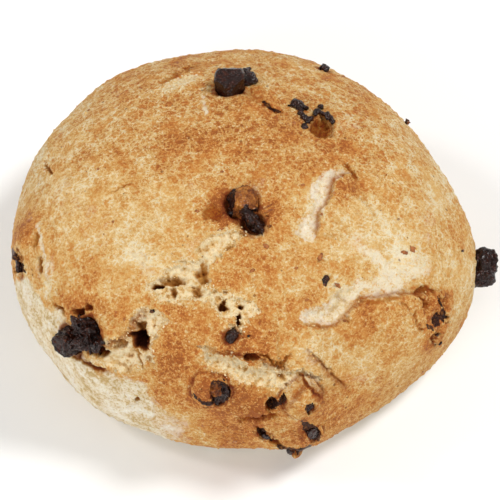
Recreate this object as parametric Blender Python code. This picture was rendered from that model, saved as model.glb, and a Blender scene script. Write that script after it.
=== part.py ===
"""Date scone: one baked round of dough with chopped dates set in its crust.

The dough is a flat-based dome with an uneven outline, raised where dates push up under the crust, and
torn open where it rose. Each date piece that shows is a solid of its own, in a pocket cut to fit it.
All sizes here are millimetres, and one factor turns them to metres. +Z is up, the origin lies under the
dough on the surface it rests on, and -Y is the front.

Places on the dough are set out on a slanted sheet, as on a three-quarter drawing: a place is (across, up)
from the middle of the sheet, and it falls on the dough along the line of sight of an eye in front.
"""

import math

import bpy
import numpy as np
from mathutils import Vector, noise

# ---------------------------------------------------------------- driving dimensions
METRE = 0.001

WIDTH = 94.5
DEPTH = 91.0
HEIGHT = 45.0
BELLY = 15.0  # height at which the dough is widest
FOOT_DROP = 19.5  # how far below the belly the underside would round off, were it not flat
CROWN_FULLNESS = 2.15  # 2 is an ellipse, more is squarer
SHOULDER_FULLNESS = 0.5  # the pale front left side stands this much squarer
SHOULDER_TOWARD = 215.0
SHOULDER_SPREAD = 50.0
FOOT_FULLNESS = 3.2

# The outline's bulges and flats: toward this azimuth, this much further out, over this spread in degrees.
OUTLINE = (
    (352, 1.9, 14),
    (20, -1.2, 16),
    (48, -1.1, 25),
    (110, 1.0, 35),
    (172, -0.7, 10),
    (191, 0.6, 10),
    (210, -0.6, 9),
    (262, -2.1, 32),
    (304, -1.4, 13),
)

# The sheet that places are set out on, and the eye that looks at it square on.
SHEET_MIDDLE = np.array((1.9, -2.5, 18.0))
SHEET_LOOKS_DOWN = math.radians(55)
EYE_AWAY = 515.0

CRUST_SWELL = 0.55  # the gentle unevenness all over
CRUST_SWELL_SIZE = 17.0
FOLD_EDGE = 0.8  # a fold's lip climbs over this distance

# Raised places: (across, up), height, radius.
SWELLS = (
    ((-8.0, -28.4), 1.0, 5.5),
    ((10.3, -30.0), 2.0, 6.5),
    ((12.0, -38.0), 1.7, 6.5),
    ((33.0, -15.0), 1.0, 8.5),
    ((-46.5, 2.4), 1.3, 3.6),
    ((-34.0, -20.0), 1.0, 7.0),
    ((-4.0, -3.0), -0.8, 9.0),
)

# Folds, where one plate of crust stands over the next: points (across, up) with the high plate on the
# left going along, its height at the edge, and how far back it takes to settle.
FOLDS = {
    "right_lobe": (
        ((36.0, -8.0), (26.5, -9.0), (22.0, -10.0), (20.0, -13.0), (16.5, -15.6), (10.0, -15.4)),
        1.2,
        9.0,
    ),
    "right_plate": (((20.5, 16.0), (16.8, 14.0), (15.6, 10.8), (14.8, 8.0), (13.6, 3.6)), 0.7, 6.0),
    "middle_plate": (((-9.3, -20.0), (-5.2, -21.0), (2.5, -22.4), (6.2, -24.4), (9.0, -22.4)), 0.9, 7.0),
}

# Torn seams: points (across, up), width, depth.
TEARS = {
    "crown_tear": (((-2.1, 5.2), (-7.2, 0.0), (-10.3, -7.2), (-18.5, -7.2)), 6.5, 1.8),
    "middle_tear": (((-7.2, -9.3), (-3.1, -13.4), (-1.0, -16.5)), 4.0, 1.8),
    "front_tear": (
        ((-13.4, -18.5), (-9.3, -21.6), (-7.2, -23.7), (0.0, -25.1), (5.2, -26.4), (10.3, -25.1)),
        5.0,
        2.0,
    ),
    "right_tear": (((19.6, 16.9), (16.1, 14.8), (15.0, 12.4), (13.0, 7.8), (11.3, 4.0)), 2.8, 1.5),
    "crescent_tear": (((10.9, -14.2), (15.7, -13.2), (19.0, -10.9), (21.4, -8.2)), 4.6, 1.7),
    "left_tear": (((-23.7, -23.7), (-20.6, -19.6), (-20.2, -15.5), (-22.7, -11.3)), 4.5, 1.2),
    "rim_tear": (((-43.7, 4.7), (-42.4, -0.4), (-41.8, -5.2), (-41.5, -10.0)), 1.6, 0.9),
    "back_tear": (((-20.6, 33.0), (-15.5, 35.0), (-10.3, 37.1)), 1.8, 0.8),
}

# Holes in the crust: (across, up), radius, depth.
HOLES = (
    ((-22.7, -18.1), 2.6, 5.0),
    ((-26.8, -19.2), 1.3, 1.6),
    ((-5.6, -11.7), 1.5, 2.2),
    ((-9.0, -4.6), 1.9, 1.8),
    ((-18.5, -7.4), 1.6, 2.2),
    ((-34.6, -12.6), 2.0, 2.4),
    ((-2.7, -14.8), 1.3, 2.2),
    ((14.6, 25.6), 2.8, 2.4),
    ((0.3, -21.8), 1.5, 1.6),
)

# Date pieces: (across, up) of the middle, how far the middle stands out of the dough, the size along the
# side, up the dough and into it, the turn about the dough's normal in degrees, the squareness of the cut,
# and the seed of its lumps.
DATES = {
    "date_back": ((-4.1, 34.2), 1.3, (6.2, 5.0, 6.0), 8, 3.6, 1),
    "date_back_crumb": ((-0.1, 35.2), 0.4, (2.6, 2.6, 2.4), 20, 2.4, 2),
    "date_flake": ((10.4, 27.8), 0.3, (4.4, 7.2, 2.8), 22, 2.6, 3),
    "date_flake_bit": ((14.0, 28.6), 0.3, (2.2, 2.4, 2.0), 0, 2.4, 4),
    "date_rim_flake": ((15.2, 37.6), 0.4, (2.9, 2.4, 1.8), 0, 2.4, 5),
    "date_crown": ((-1.8, 9.9), 0.9, (7.0, 6.8, 5.4), 8, 3.2, 6),
    "date_crown_low": ((0.7, 5.8), 0.6, (5.0, 4.6, 4.2), -35, 2.8, 17),
    "date_side": ((-37.3, -18.7), 1.3, (6.2, 6.2, 6.0), -30, 3.2, 7),
    "date_side_torn": ((-33.2, -17.2), 0.6, (6.0, 6.8, 4.8), 20, 2.6, 18),
    "date_coated": ((-8.0, -28.6), 0.2, (8.0, 7.2, 5.0), 10, 2.6, 8),
    "date_block": ((10.3, -29.7), 0.8, (7.6, 7.2, 6.4), 42, 4.0, 9),
    "date_foot": ((12.6, -37.2), 0.9, (4.0, 4.2, 4.6), 15, 3.2, 10),
    "date_foot_rim": ((9.0, -40.9), 0.4, (6.4, 2.4, 3.4), 4, 2.6, 11),
    "date_foot_chip": ((3.2, -37.9), 0.2, (3.2, 2.4, 2.4), -30, 2.4, 12),
    "date_right": ((48.0, -3.5), 0.8, (5.2, 7.8, 6.0), 4, 3.0, 13),
    "date_shoulder": ((38.6, -14.2), 0.2, (3.4, 9.6, 4.6), -8, 2.6, 14),
    "date_left": ((-47.4, -2.9), 0.1, (2.4, 5.6, 2.6), 12, 2.6, 15),
    "date_tear": ((-3.8, -17.7), 0.0, (2.8, 2.6, 3.0), 30, 2.8, 16),
}

# Neighbours that meet: the first is cut to fit the second.
MEETING = (("date_crown", "date_crown_low"), ("date_side", "date_side_torn"))

POCKET_GAP = 0.3
DATE_LUMP = 0.16  # the lumps' share of a date's size
LARGE_DATE = 4.9  # from this size up, a date gets the finer facets

SKIN_DETAIL = 7  # subdivisions of the ball that the dough is shaped from
DOUGH_FACES = 3900

DOUGH_LOOK = ((0.62, 0.40, 0.19), 0.62)
DATE_LOOK = ((0.035, 0.016, 0.011), 0.30)


# ---------------------------------------------------------------- the dough's outer form
def bump(distance, radius):
    return np.exp(-((distance / radius) ** 2))


def turn_between(azimuth, toward):
    return (azimuth - math.radians(toward) + math.pi) % (2 * math.pi) - math.pi


def reach(azimuth):
    """How far the belly lies from the middle, toward an azimuth."""
    ellipse = np.hypot(np.cos(azimuth) / (WIDTH / 2), np.sin(azimuth) / (DEPTH / 2)) ** -1
    for toward, further, spread in OUTLINE:
        ellipse = ellipse + further * bump(turn_between(azimuth, toward), math.radians(spread))
    return ellipse


def shell_ratio(points, lift=0.0):
    """Below 1 inside the dome swollen by lift, 1 on it, above 1 outside."""
    from_heart = points - (0.0, 0.0, BELLY)
    azimuth = np.arctan2(from_heart[..., 1], from_heart[..., 0])
    beside = turn_between(azimuth, SHOULDER_TOWARD)
    above = from_heart[..., 2] >= 0
    crown = CROWN_FULLNESS + SHOULDER_FULLNESS * bump(beside, math.radians(SHOULDER_SPREAD))
    fullness = np.where(above, crown, FOOT_FULLNESS)
    rise = np.where(above, HEIGHT - BELLY, FOOT_DROP) + lift
    out = np.hypot(from_heart[..., 0], from_heart[..., 1]) / (reach(azimuth) + lift)
    up = np.abs(from_heart[..., 2]) / rise
    return (out**fullness + up**fullness) ** (1 / fullness)


def dome(directions):
    """The points of the dome that lie in these directions from the heart, the middle at belly height."""
    heart = np.array((0.0, 0.0, BELLY))
    points = heart + directions / shell_ratio(heart + directions)[..., None]
    points[..., 2] = np.maximum(points[..., 2], 0.0)
    return points


def normal_at(point):
    step = 0.05
    slopes = [shell_ratio(point + step * axis) - shell_ratio(point - step * axis) for axis in np.eye(3)]
    slopes = np.array(slopes)
    return slopes / np.linalg.norm(slopes)


# ---------------------------------------------------------------- from the sheet to the dough
TO_EYE = np.array((0.0, -math.cos(SHEET_LOOKS_DOWN), math.sin(SHEET_LOOKS_DOWN)))
SHEET_UP = np.array((0.0, math.sin(SHEET_LOOKS_DOWN), math.cos(SHEET_LOOKS_DOWN)))
SHEET_ACROSS = np.array((1.0, 0.0, 0.0))


def drop(place, lift=0.0):
    """The point where the line of sight through a place on the sheet meets the dome swollen by lift.

    A line that passes the dome by gives its nearest point to it."""
    eye = SHEET_MIDDLE + EYE_AWAY * TO_EYE
    on_sheet = SHEET_MIDDLE + place[0] * SHEET_ACROSS + place[1] * SHEET_UP
    sight = on_sheet - eye
    steps = np.linspace(0.85, 1.12, 5401)[:, None]
    line = eye + steps * sight
    ratio = shell_ratio(line, lift)
    inside = np.nonzero(ratio < 1.0)[0]
    return line[inside[0]] if len(inside) else line[np.argmin(ratio)]


def beside_path(points, places):
    """Each point's distance to a path of places, and whether it lies on the left of it, seen from outside."""
    nearest = np.full(len(points), np.inf)
    left = np.zeros(len(points), bool)
    path = [drop(place) for place in places]
    for start, end in zip(path[:-1], path[1:]):
        along = end - start
        from_start = points - start
        share = np.clip(from_start @ along / (along @ along), 0.0, 1.0)
        distance = np.linalg.norm(from_start - share[:, None] * along, axis=1)
        closer = distance < nearest
        nearest = np.where(closer, distance, nearest)
        left = np.where(closer, from_start @ np.cross(normal_at(start), along) > 0, left)
    return nearest, left


# ---------------------------------------------------------------- relief
def relief(points):
    """How far each point of the dome is pushed out along its normal: swells, less tears and holes."""
    push = np.array([noise.noise(Vector(p / CRUST_SWELL_SIZE)) for p in points]) * 2 * CRUST_SWELL
    for place, height, radius in SWELLS:
        push += height * bump(np.linalg.norm(points - drop(place), axis=1), radius)
    for places, height, settle in FOLDS.values():
        distance, left = beside_path(points, places)
        edge = np.clip(distance / FOLD_EDGE, 0.0, 1.0)
        push += np.where(left, height * edge * bump(distance, settle), 0.0)
    torn = np.zeros(len(points))
    ragged = np.array([noise.noise(Vector(p / 2.6)) for p in points])
    for places, width, depth in TEARS.values():
        across = beside_path(points, places)[0] + 0.9 * ragged
        torn = np.maximum(torn, depth * np.clip(1.6 * (1 - (2 * across / width) ** 2), 0.0, 1.0))
    for place, radius, depth in HOLES:
        across = np.linalg.norm(points - drop(place), axis=1) + 0.5 * ragged
        torn = np.maximum(torn, depth * np.clip(1.4 * (1 - (across / radius) ** 2), 0.0, 1.0))
    above_base = np.clip(points[:, 2] / 4.0, 0.0, 1.0)
    return (push - torn) * above_base


# ---------------------------------------------------------------- Blender helpers
def clear_scene():
    for found in list(bpy.data.objects):
        bpy.data.objects.remove(found)


def new_collection(name):
    made = bpy.data.collections.new(name)
    bpy.context.scene.collection.children.link(made)
    return made


def finish(name, look):
    colour, roughness = look
    material = bpy.data.materials.new(name)
    material.use_nodes = True
    shader = material.node_tree.nodes["Principled BSDF"]
    shader.inputs["Base Color"].default_value = (*colour, 1.0)
    shader.inputs["Roughness"].default_value = roughness
    shader.inputs["Metallic"].default_value = 0.0
    return material


def ball(name, detail, collection):
    bpy.ops.mesh.primitive_ico_sphere_add(subdivisions=detail, radius=1.0)
    made = bpy.context.active_object
    made.name = name
    made.data.name = name
    for holder in list(made.users_collection):
        holder.objects.unlink(made)
    collection.objects.link(made)
    return made


def get_points(thing):
    flat = np.empty(3 * len(thing.data.vertices))
    thing.data.vertices.foreach_get("co", flat)
    return flat.reshape(-1, 3)


def set_points(thing, points):
    thing.data.vertices.foreach_set("co", points.ravel())
    thing.data.update()


# ---------------------------------------------------------------- the pieces
def make_dough(collection):
    dough = ball("dough", SKIN_DETAIL, collection)
    skin = dome(get_points(dough))
    set_points(dough, skin)
    outward = np.empty(3 * len(skin))
    dough.data.vertices.foreach_get("normal", outward)
    skin = skin + outward.reshape(-1, 3) * relief(skin)[:, None]
    skin[:, 2] = np.maximum(skin[:, 2], 0.0)
    set_points(dough, skin * METRE)
    fewer = dough.modifiers.new("facets", "DECIMATE")
    fewer.ratio = DOUGH_FACES / len(dough.data.polygons)
    dough.data.shade_smooth()
    dough.data.materials.append(finish("baked_dough", DOUGH_LOOK))
    return dough


def chunk_points(directions, size, squareness, seed):
    """A chopped piece: a squared-off pebble whose lumps come from a seeded noise."""
    square = (np.abs(directions) ** squareness).sum(axis=1) ** (-1 / squareness)
    shift = Vector((7.3 * seed, -3.1 * seed, 5.7 * seed))
    lumps = np.array([noise.noise(Vector(d) * 1.3 + shift) + 0.5 * noise.noise(Vector(d) * 2.9 - shift)
                      for d in directions])
    return directions * (square * (1 + DATE_LUMP * lumps))[:, None] * (np.array(size) / 2)


def set_frame(place, lift, turn):
    """Where a date sits: its middle, and its side, up and outward axes as columns."""
    middle = drop(place, lift)
    outward = normal_at(middle)
    up = SHEET_UP - (SHEET_UP @ outward) * outward
    up = up / np.linalg.norm(up)
    side = np.cross(up, outward)
    turn = math.radians(turn)
    turned_side = math.cos(turn) * side + math.sin(turn) * up
    turned_up = math.cos(turn) * up - math.sin(turn) * side
    return middle, np.column_stack((turned_side, turned_up, outward))


def make_date(name, spec, parts, pockets):
    place, lift, size, turn, squareness, seed = spec
    middle, axes = set_frame(place, lift, turn)
    detail = 3 if min(size[:2]) > LARGE_DATE else 2
    for made_name, grow, collection in ((name, 0.0, parts), (name + "_pocket", 2 * POCKET_GAP, pockets)):
        piece = ball(made_name, detail, collection)
        grown = [side + grow for side in size]
        points = chunk_points(get_points(piece), grown, squareness, seed)
        set_points(piece, (points @ axes.T) * METRE)
        piece.location = Vector(middle * METRE)
        piece.data.shade_smooth()
        if collection is pockets:
            piece.hide_render = True
            piece.display_type = "WIRE"
        else:
            piece.data.materials.append(finish(name + "_flesh", DATE_LOOK))


def cut_to_fit(first, second):
    cut = bpy.data.objects[first].modifiers.new("fit", "BOOLEAN")
    cut.operation = "DIFFERENCE"
    cut.object = bpy.data.objects[second + "_pocket"]
    cut.solver = "EXACT"


def cut_pockets(dough, pockets):
    cut = dough.modifiers.new("date_pockets", "BOOLEAN")
    cut.operation = "DIFFERENCE"
    cut.operand_type = "COLLECTION"
    cut.collection = pockets
    cut.solver = "EXACT"


clear_scene()
scone = new_collection("date_scone")
pocket_cutters = new_collection("date_pockets")
dough_piece = make_dough(scone)
for date_name, date_spec in DATES.items():
    make_date(date_name, date_spec, scone, pocket_cutters)
for first_date, second_date in MEETING:
    cut_to_fit(first_date, second_date)
cut_pockets(dough_piece, pocket_cutters)
print("dough and", len(DATES), "date pieces")
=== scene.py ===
# %% [markdown]
# # A date scone, crust and crumb
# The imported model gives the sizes: one round of dough and the chopped dates that sit in it. This lesson
# dresses it: a baked skin that has torn open while it rose, the soft crumb that shows in the tears, the
# glossy dates, and the flecks of fruit that the mixing left in the crust.

# %% The frame
import math
import random
import time

import bmesh
import bpy
import numpy as np
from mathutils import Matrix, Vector, noise
from mathutils.bvhtree import BVHTree


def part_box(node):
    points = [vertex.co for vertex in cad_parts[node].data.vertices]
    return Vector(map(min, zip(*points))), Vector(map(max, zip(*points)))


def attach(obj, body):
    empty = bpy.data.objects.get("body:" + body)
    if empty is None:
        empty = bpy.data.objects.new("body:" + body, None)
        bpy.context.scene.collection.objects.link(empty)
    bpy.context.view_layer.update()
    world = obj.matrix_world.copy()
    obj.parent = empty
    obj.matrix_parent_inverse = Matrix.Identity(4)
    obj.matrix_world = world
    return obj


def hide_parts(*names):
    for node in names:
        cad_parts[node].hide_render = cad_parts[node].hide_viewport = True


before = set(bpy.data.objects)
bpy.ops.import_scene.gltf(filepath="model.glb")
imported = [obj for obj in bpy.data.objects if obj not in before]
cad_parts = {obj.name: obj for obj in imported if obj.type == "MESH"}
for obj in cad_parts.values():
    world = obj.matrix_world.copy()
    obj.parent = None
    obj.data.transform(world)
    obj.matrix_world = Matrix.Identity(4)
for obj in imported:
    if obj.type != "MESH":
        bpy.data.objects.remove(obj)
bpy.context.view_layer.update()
started = time.time()
MM = 0.001
dough_low, dough_high = (np.array(corner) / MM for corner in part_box("dough"))
print("dough, mm:", np.round(dough_high - dough_low, 1), "and", len(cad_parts) - 1, "dates")

# %% [markdown]
# ## The dome
# A scone is a ball of dough that slumps on a flat tray and rises in the oven. Its outer form is a dome
# with a squarer foot, and an outline that bulges and flattens. A formula suits it better than a sculpt:
# every later step can ask how far a point lies from the crust, and in which direction the crust faces.

# %% The dome as a formula, in millimetres
WIDTH, DEPTH, HEIGHT = 94.5, 91.0, 45.0
BELLY = 15.0  # how high the widest part is
FOOT_DROP = 19.5  # how far below the belly the foot would close, if the table didn't cut it flat
FOOT_FULLNESS, CROWN_FULLNESS = 3.2, 2.15  # 2 is an ellipse, and more is squarer
SHOULDER_FULLNESS, SHOULDER_TOWARD, SHOULDER_SPREAD = 0.5, 215.0, 50.0  # added, degrees, degrees
OUTLINE = (  # bearing in degrees, how much further out, over how many degrees
    (352, 1.9, 14), (20, -1.2, 16), (48, -1.1, 25), (110, 1.0, 35), (172, -0.7, 10),
    (191, 0.6, 10), (210, -0.6, 9), (262, -2.1, 32), (304, -1.4, 13))
HEART = np.array((0.0, 0.0, BELLY))


def bump(distance, radius):
    return np.exp(-((distance / radius) ** 2))


def smooth(value, low, high):
    """0 below low, 1 above high, and an S curve between."""
    t = np.clip((value - low) / (high - low), 0.0, 1.0)
    return t * t * (3 - 2 * t)


def turn_between(azimuth, toward):
    return (azimuth - math.radians(toward) + math.pi) % (2 * math.pi) - math.pi


def shell_ratio(points, lift=0.0):
    """Below 1 inside the dome swollen by lift, 1 on it, above 1 outside."""
    out = points - HEART
    azimuth = np.arctan2(out[..., 1], out[..., 0])
    reach = np.hypot(np.cos(azimuth) / (WIDTH / 2), np.sin(azimuth) / (DEPTH / 2)) ** -1
    for toward, further, spread in OUTLINE:
        reach = reach + further * bump(turn_between(azimuth, toward), math.radians(spread))
    above = out[..., 2] >= 0
    shoulder = bump(turn_between(azimuth, SHOULDER_TOWARD), math.radians(SHOULDER_SPREAD))
    fullness = np.where(above, CROWN_FULLNESS + SHOULDER_FULLNESS * shoulder, FOOT_FULLNESS)
    rise = np.where(above, HEIGHT - BELLY, FOOT_DROP) + lift
    ratio = (np.hypot(out[..., 0], out[..., 1]) / (reach + lift)) ** fullness
    return (ratio + (np.abs(out[..., 2]) / rise) ** fullness) ** (1 / fullness)


def dome(directions):
    points = HEART + directions / shell_ratio(HEART + directions)[..., None]
    points[..., 2] = np.maximum(points[..., 2], 0.0)
    return points


def normals_at(points):
    step = 0.05
    slopes = [shell_ratio(points + step * axis) - shell_ratio(points - step * axis) for axis in np.eye(3)]
    slopes = np.stack(slopes, axis=-1)
    return slopes / np.linalg.norm(slopes, axis=-1, keepdims=True)


print("the crown of the dome, mm:", np.round(dome(np.array([[0.0, 0.0, 1.0]]))[0], 1))

# %% [markdown]
# ## A drawing that leans back
# Tears and flecks are easiest to set out on a drawing of the scone as it is seen at the table, from the
# front and 55 degrees up. A place is (across, up) in millimetres from the drawing's middle, and it falls
# on the crust along the line of sight. The camera looks along the same lines.

# %% The slanted drawing
LOOKS_DOWN = math.radians(55)
EYE_AWAY = 515.0
MIDDLE = np.array((1.9, -2.5, 18.0))
ACROSS = np.array((1.0, 0.0, 0.0))
TO_EYE = np.array((0.0, -math.cos(LOOKS_DOWN), math.sin(LOOKS_DOWN)))
DRAWING_UP = np.array((0.0, math.sin(LOOKS_DOWN), math.cos(LOOKS_DOWN)))
EYE = MIDDLE + EYE_AWAY * TO_EYE


def on_drawing(points):
    """Where points show on the drawing."""
    from_eye = points - EYE
    nearer = -EYE_AWAY / (from_eye @ TO_EYE)
    return np.stack((from_eye[..., 0] * nearer, (from_eye @ DRAWING_UP) * nearer), axis=-1)


def drop(place, lift=0.0):
    """The point of the dome, swollen by lift, that shows at a place of the drawing."""
    sight = MIDDLE + place[0] * ACROSS + place[1] * DRAWING_UP - EYE
    line = EYE + np.linspace(0.85, 1.12, 2701)[:, None] * sight
    ratio = shell_ratio(line, lift)
    inside = np.nonzero(ratio < 1.0)[0]
    return line[inside[0]] if len(inside) else line[np.argmin(ratio)]


def faces_eye(points, normals):
    sight = EYE - points
    return (normals * sight).sum(axis=-1) / np.linalg.norm(sight, axis=-1)


print("the middle of the drawing falls at, mm:", np.round(drop((0.0, 0.0)), 1))

# %% [markdown]
# Outlines and lines on the drawing need two measures: how far inside an outline a place lies, and how far
# it is from a line, on which side, and how far along. Both are plain geometry, done for all points at once.

# %% Measures on the drawing
def inside_outline(spots, outline):
    """Signed distance to a closed outline on the drawing, positive inside it."""
    corners = np.array(outline)
    nearest = np.full(len(spots), np.inf)
    crossings = np.zeros(len(spots), int)
    for (ax, ay), (bx, by) in zip(corners, np.roll(corners, -1, axis=0)):
        edge = np.array((bx - ax, by - ay))
        from_a = spots - (ax, ay)
        share = np.clip(from_a @ edge / (edge @ edge), 0.0, 1.0)
        nearest = np.minimum(nearest, np.linalg.norm(from_a - share[:, None] * edge, axis=1))
        spans = (ay > spots[:, 1]) != (by > spots[:, 1])
        with np.errstate(divide="ignore", invalid="ignore"):
            at = ax + (spots[:, 1] - ay) / (by - ay) * (bx - ax)
        crossings += spans & (spots[:, 0] < at)
    return np.where(crossings % 2 == 1, nearest, -nearest)


def beside_line(spots, line):
    """Distance to an open line, whether a spot lies on its left, and how far along it is, from 0 to 1."""
    corners = np.array(line)
    lengths = np.linalg.norm(np.diff(corners, axis=0), axis=1)
    nearest = np.full(len(spots), np.inf)
    left = np.zeros(len(spots), bool)
    along = np.zeros(len(spots))
    for (ax, ay), (bx, by), before in zip(corners[:-1], corners[1:], np.cumsum(lengths) - lengths):
        edge = np.array((bx - ax, by - ay))
        from_a = spots - (ax, ay)
        share = np.clip(from_a @ edge / (edge @ edge), 0.0, 1.0)
        distance = np.linalg.norm(from_a - share[:, None] * edge, axis=1)
        closer = distance < nearest
        nearest = np.where(closer, distance, nearest)
        left = np.where(closer, edge[0] * from_a[:, 1] - edge[1] * from_a[:, 0] > 0, left)
        along = np.where(closer, (before + share * np.linalg.norm(edge)) / lengths.sum(), along)
    return nearest, left, along


SQUARE = ((0.0, 0.0), (10.0, 0.0), (10.0, 10.0), (0.0, 10.0))
print("inside a square by, mm:", inside_outline(np.array([[2.0, 5.0]]), SQUARE)[0])

# %% [markdown]
# ## Where the crust tears
# Steam and the rising crumb pull the drying skin apart. Each tear is an outline on the drawing. Pits are
# bubbles that the tear opened, folds are lips where one plate of crust rode over the next, and creases
# are lines where the dough was pinched. All of them are read by the mesh and by the colours alike; the
# colours paint shade into pits and creases and along the foot of each fold.

# %% Tears, pits, folds and creases
TEARS = {  # outline, depth, how crumbly: a slow stretch leaves smooth dough, a rip leaves crumb
    "crown": (((-2.9, 4.5), (-0.6, 3.7), (-2.1, 2.1), (-3.7, 0.8), (-4.9, -0.6), (-5.8, -1.9),
               (-7.4, -1.6), (-7.6, -4.5), (-8.4, -6.8), (-9.3, -7.8), (-8.2, -9.5), (-9.5, -11.3),
               (-11.1, -10.9), (-12.4, -9.5), (-13.6, -10.9), (-16.1, -10.3), (-19.0, -10.1),
               (-21.4, -8.2), (-20.6, -6.4), (-18.5, -5.4), (-16.5, -3.7), (-11.9, -2.5),
               (-10.5, -1.2), (-10.3, 0.8), (-8.9, 2.9), (-6.2, 3.9)), 1.1, 1.0),
    "middle": (((-7.8, -7.6), (-5.4, -8.7), (-2.1, -10.1), (0.4, -11.3), (2.1, -13.0), (0.0, -14.2),
                (-1.0, -16.1), (-2.1, -17.1), (-3.7, -16.1), (-3.5, -14.0), (-5.8, -13.6),
                (-7.8, -12.2), (-9.1, -9.9)), 0.9, 1.0),
    "left": (((-23.5, -12.6), (-21.0, -11.5), (-19.0, -12.8), (-16.5, -14.0), (-16.5, -15.7),
              (-19.2, -16.5), (-19.6, -18.5), (-20.6, -20.0), (-19.0, -22.2), (-19.8, -23.5),
              (-21.6, -22.7), (-22.7, -23.9), (-24.7, -25.1), (-27.2, -25.5), (-29.7, -24.3),
              (-30.3, -22.2), (-29.5, -20.6), (-28.4, -18.7), (-26.4, -18.3), (-24.7, -17.7),
              (-23.9, -16.1), (-24.5, -14.4)), 1.0, 0.9),
    "side_slip": (((-41.2, -12.2), (-40.0, -11.3), (-38.7, -12.8), (-37.9, -14.2), (-37.5, -14.8),
                   (-38.7, -16.5), (-39.8, -17.3), (-40.2, -15.5), (-41.0, -13.6)), 0.6, 0.3),
    "front": (((-12.4, -18.5), (-10.7, -19.8), (-9.1, -19.8), (-8.4, -21.2), (-6.2, -21.4),
               (-3.5, -22.0), (-0.8, -23.1), (1.6, -23.7), (3.7, -23.5), (5.6, -24.3), (8.2, -24.9),
               (10.3, -24.7), (11.9, -25.1), (14.8, -26.4), (14.0, -27.6), (11.9, -26.4),
               (10.3, -26.0), (8.7, -27.6), (6.8, -28.8), (4.5, -28.4), (1.6, -28.4), (-1.0, -27.6),
               (-2.9, -26.2), (-5.2, -26.0), (-7.4, -24.3), (-9.3, -23.1), (-10.3, -20.6)), 1.3, 1.0),
    "right": (((16.5, 16.1), (14.8, 15.5), (13.2, 14.0), (12.6, 11.9), (12.8, 9.3), (11.9, 7.4),
               (10.7, 6.2), (9.5, 3.7), (10.9, 2.0), (12.8, 1.4), (13.6, 3.7), (13.6, 6.2),
               (14.2, 7.6), (15.5, 9.1), (16.5, 10.9), (16.7, 12.8), (17.1, 14.4), (18.5, 15.0),
               (20.0, 15.7), (19.6, 16.9)), 0.7, 0.45),
    "crescent": (((21.0, -7.2), (22.2, -8.4), (21.4, -10.1), (20.6, -12.2), (19.0, -13.8),
                  (16.7, -15.2), (14.0, -15.0), (11.3, -14.6), (9.9, -13.8), (10.9, -12.6),
                  (13.4, -11.9), (16.1, -11.1), (16.7, -9.9), (17.3, -8.2), (19.6, -7.8)), 0.6, 0.40),
    "rim": (((-44.1, 5.4), (-43.3, 5.4), (-43.1, 3.1), (-42.4, 0.0), (-41.6, -2.5), (-41.2, -5.2),
             (-40.8, -7.8), (-41.4, -9.9), (-42.0, -9.7), (-41.8, -7.6), (-42.2, -5.2),
             (-42.4, -2.5), (-43.1, 0.0), (-43.7, 2.9)), 0.5, 0.4),
    "back": (((-19.6, 32.6), (-17.4, 34.0), (-14.6, 35.5), (-11.6, 36.6), (-10.4, 36.0),
              (-12.2, 34.4), (-14.9, 33.2), (-18.4, 31.8)), 0.3, 0.6),
    "back_low": (((-10.6, 30.9), (-9.8, 31.6), (-8.9, 30.3), (-8.6, 28.4), (-9.2, 26.9),
                  (-9.7, 28.4)), 0.2, 0.5),
    "flaky": (((-25.9, 0.4), (-24.1, 0.8), (-22.7, -0.2), (-21.2, -1.4), (-20.4, -2.7), (-22.0, -2.7),
               (-23.7, -1.7), (-25.1, -0.8)), 0.25, 0.7),
}
PITS = (  # middle, half sizes, turn in degrees, depth, how much painted shade darkens the inside
    ((-16.1, -6.4), (3.2, 1.1), -8, 1.6, 0.32),
    ((-19.0, -7.4), (1.4, 0.7), 10, 3.2, 0.95),
    ((-9.5, -4.8), (1.6, 2.7), 0, 0.9, 0.34),
    ((-10.0, -2.9), (0.5, 0.8), 0, 0.5, 0.42),
    ((-15.7, -8.9), (0.8, 1.0), 0, 1.0, 0.30),
    ((-11.1, -8.7), (1.3, 1.5), 20, 1.0, 0.28),
    ((-5.6, -11.8), (1.5, 0.8), -12, 2.3, 0.72),
    ((-5.3, -10.9), (0.5, 1.1), -20, 1.8, 0.62),
    ((-2.5, -14.7), (0.6, 1.3), -10, 2.4, 0.66),
    ((-1.9, -12.2), (0.7, 0.6), 0, 1.8, 0.50),
    ((-22.7, -15.9), (1.2, 1.1), 0, 2.4, 0.50),
    ((-27.0, -19.4), (1.5, 1.1), -15, 1.4, 0.25),
    ((-35.4, -12.8), (1.3, 0.8), 12, 3.4, 0.75),
    ((-33.4, -11.7), (0.9, 0.7), 25, 1.5, 0.60),
    ((-31.3, -20.9), (2.2, 1.3), -15, 2.8, 0.75),
    ((14.8, 25.6), (2.7, 2.3), -20, 2.4, 0.40),
    ((0.4, -22.0), (1.5, 0.9), 0, 2.0, 0.42),
    ((6.2, -23.6), (0.9, 1.2), 0, 1.3, 0.45),
    ((4.4, -31.9), (1.4, 1.7), -25, 2.8, 0.90),
    ((-44.3, 2.0), (0.7, 1.9), -8, 0.5, 0.35),
    ((-23.3, -30.8), (0.7, 0.5), 0, 0.7, 0.55),
    ((-7.6, 7.6), (2.4, 2.0), 0, 0.8, 0.30),
)
DEEP_HOLE = ((-23.9, -17.0), (-22.9, -16.6), (-21.6, -17.0), (-20.8, -18.0), (-21.2, -19.0),
             (-21.0, -20.4), (-22.0, -21.4), (-22.9, -20.6), (-23.9, -20.2), (-24.9, -18.7), (-25.1, -17.7))
DEEP_HOLE_DEPTH = 8.0
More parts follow.
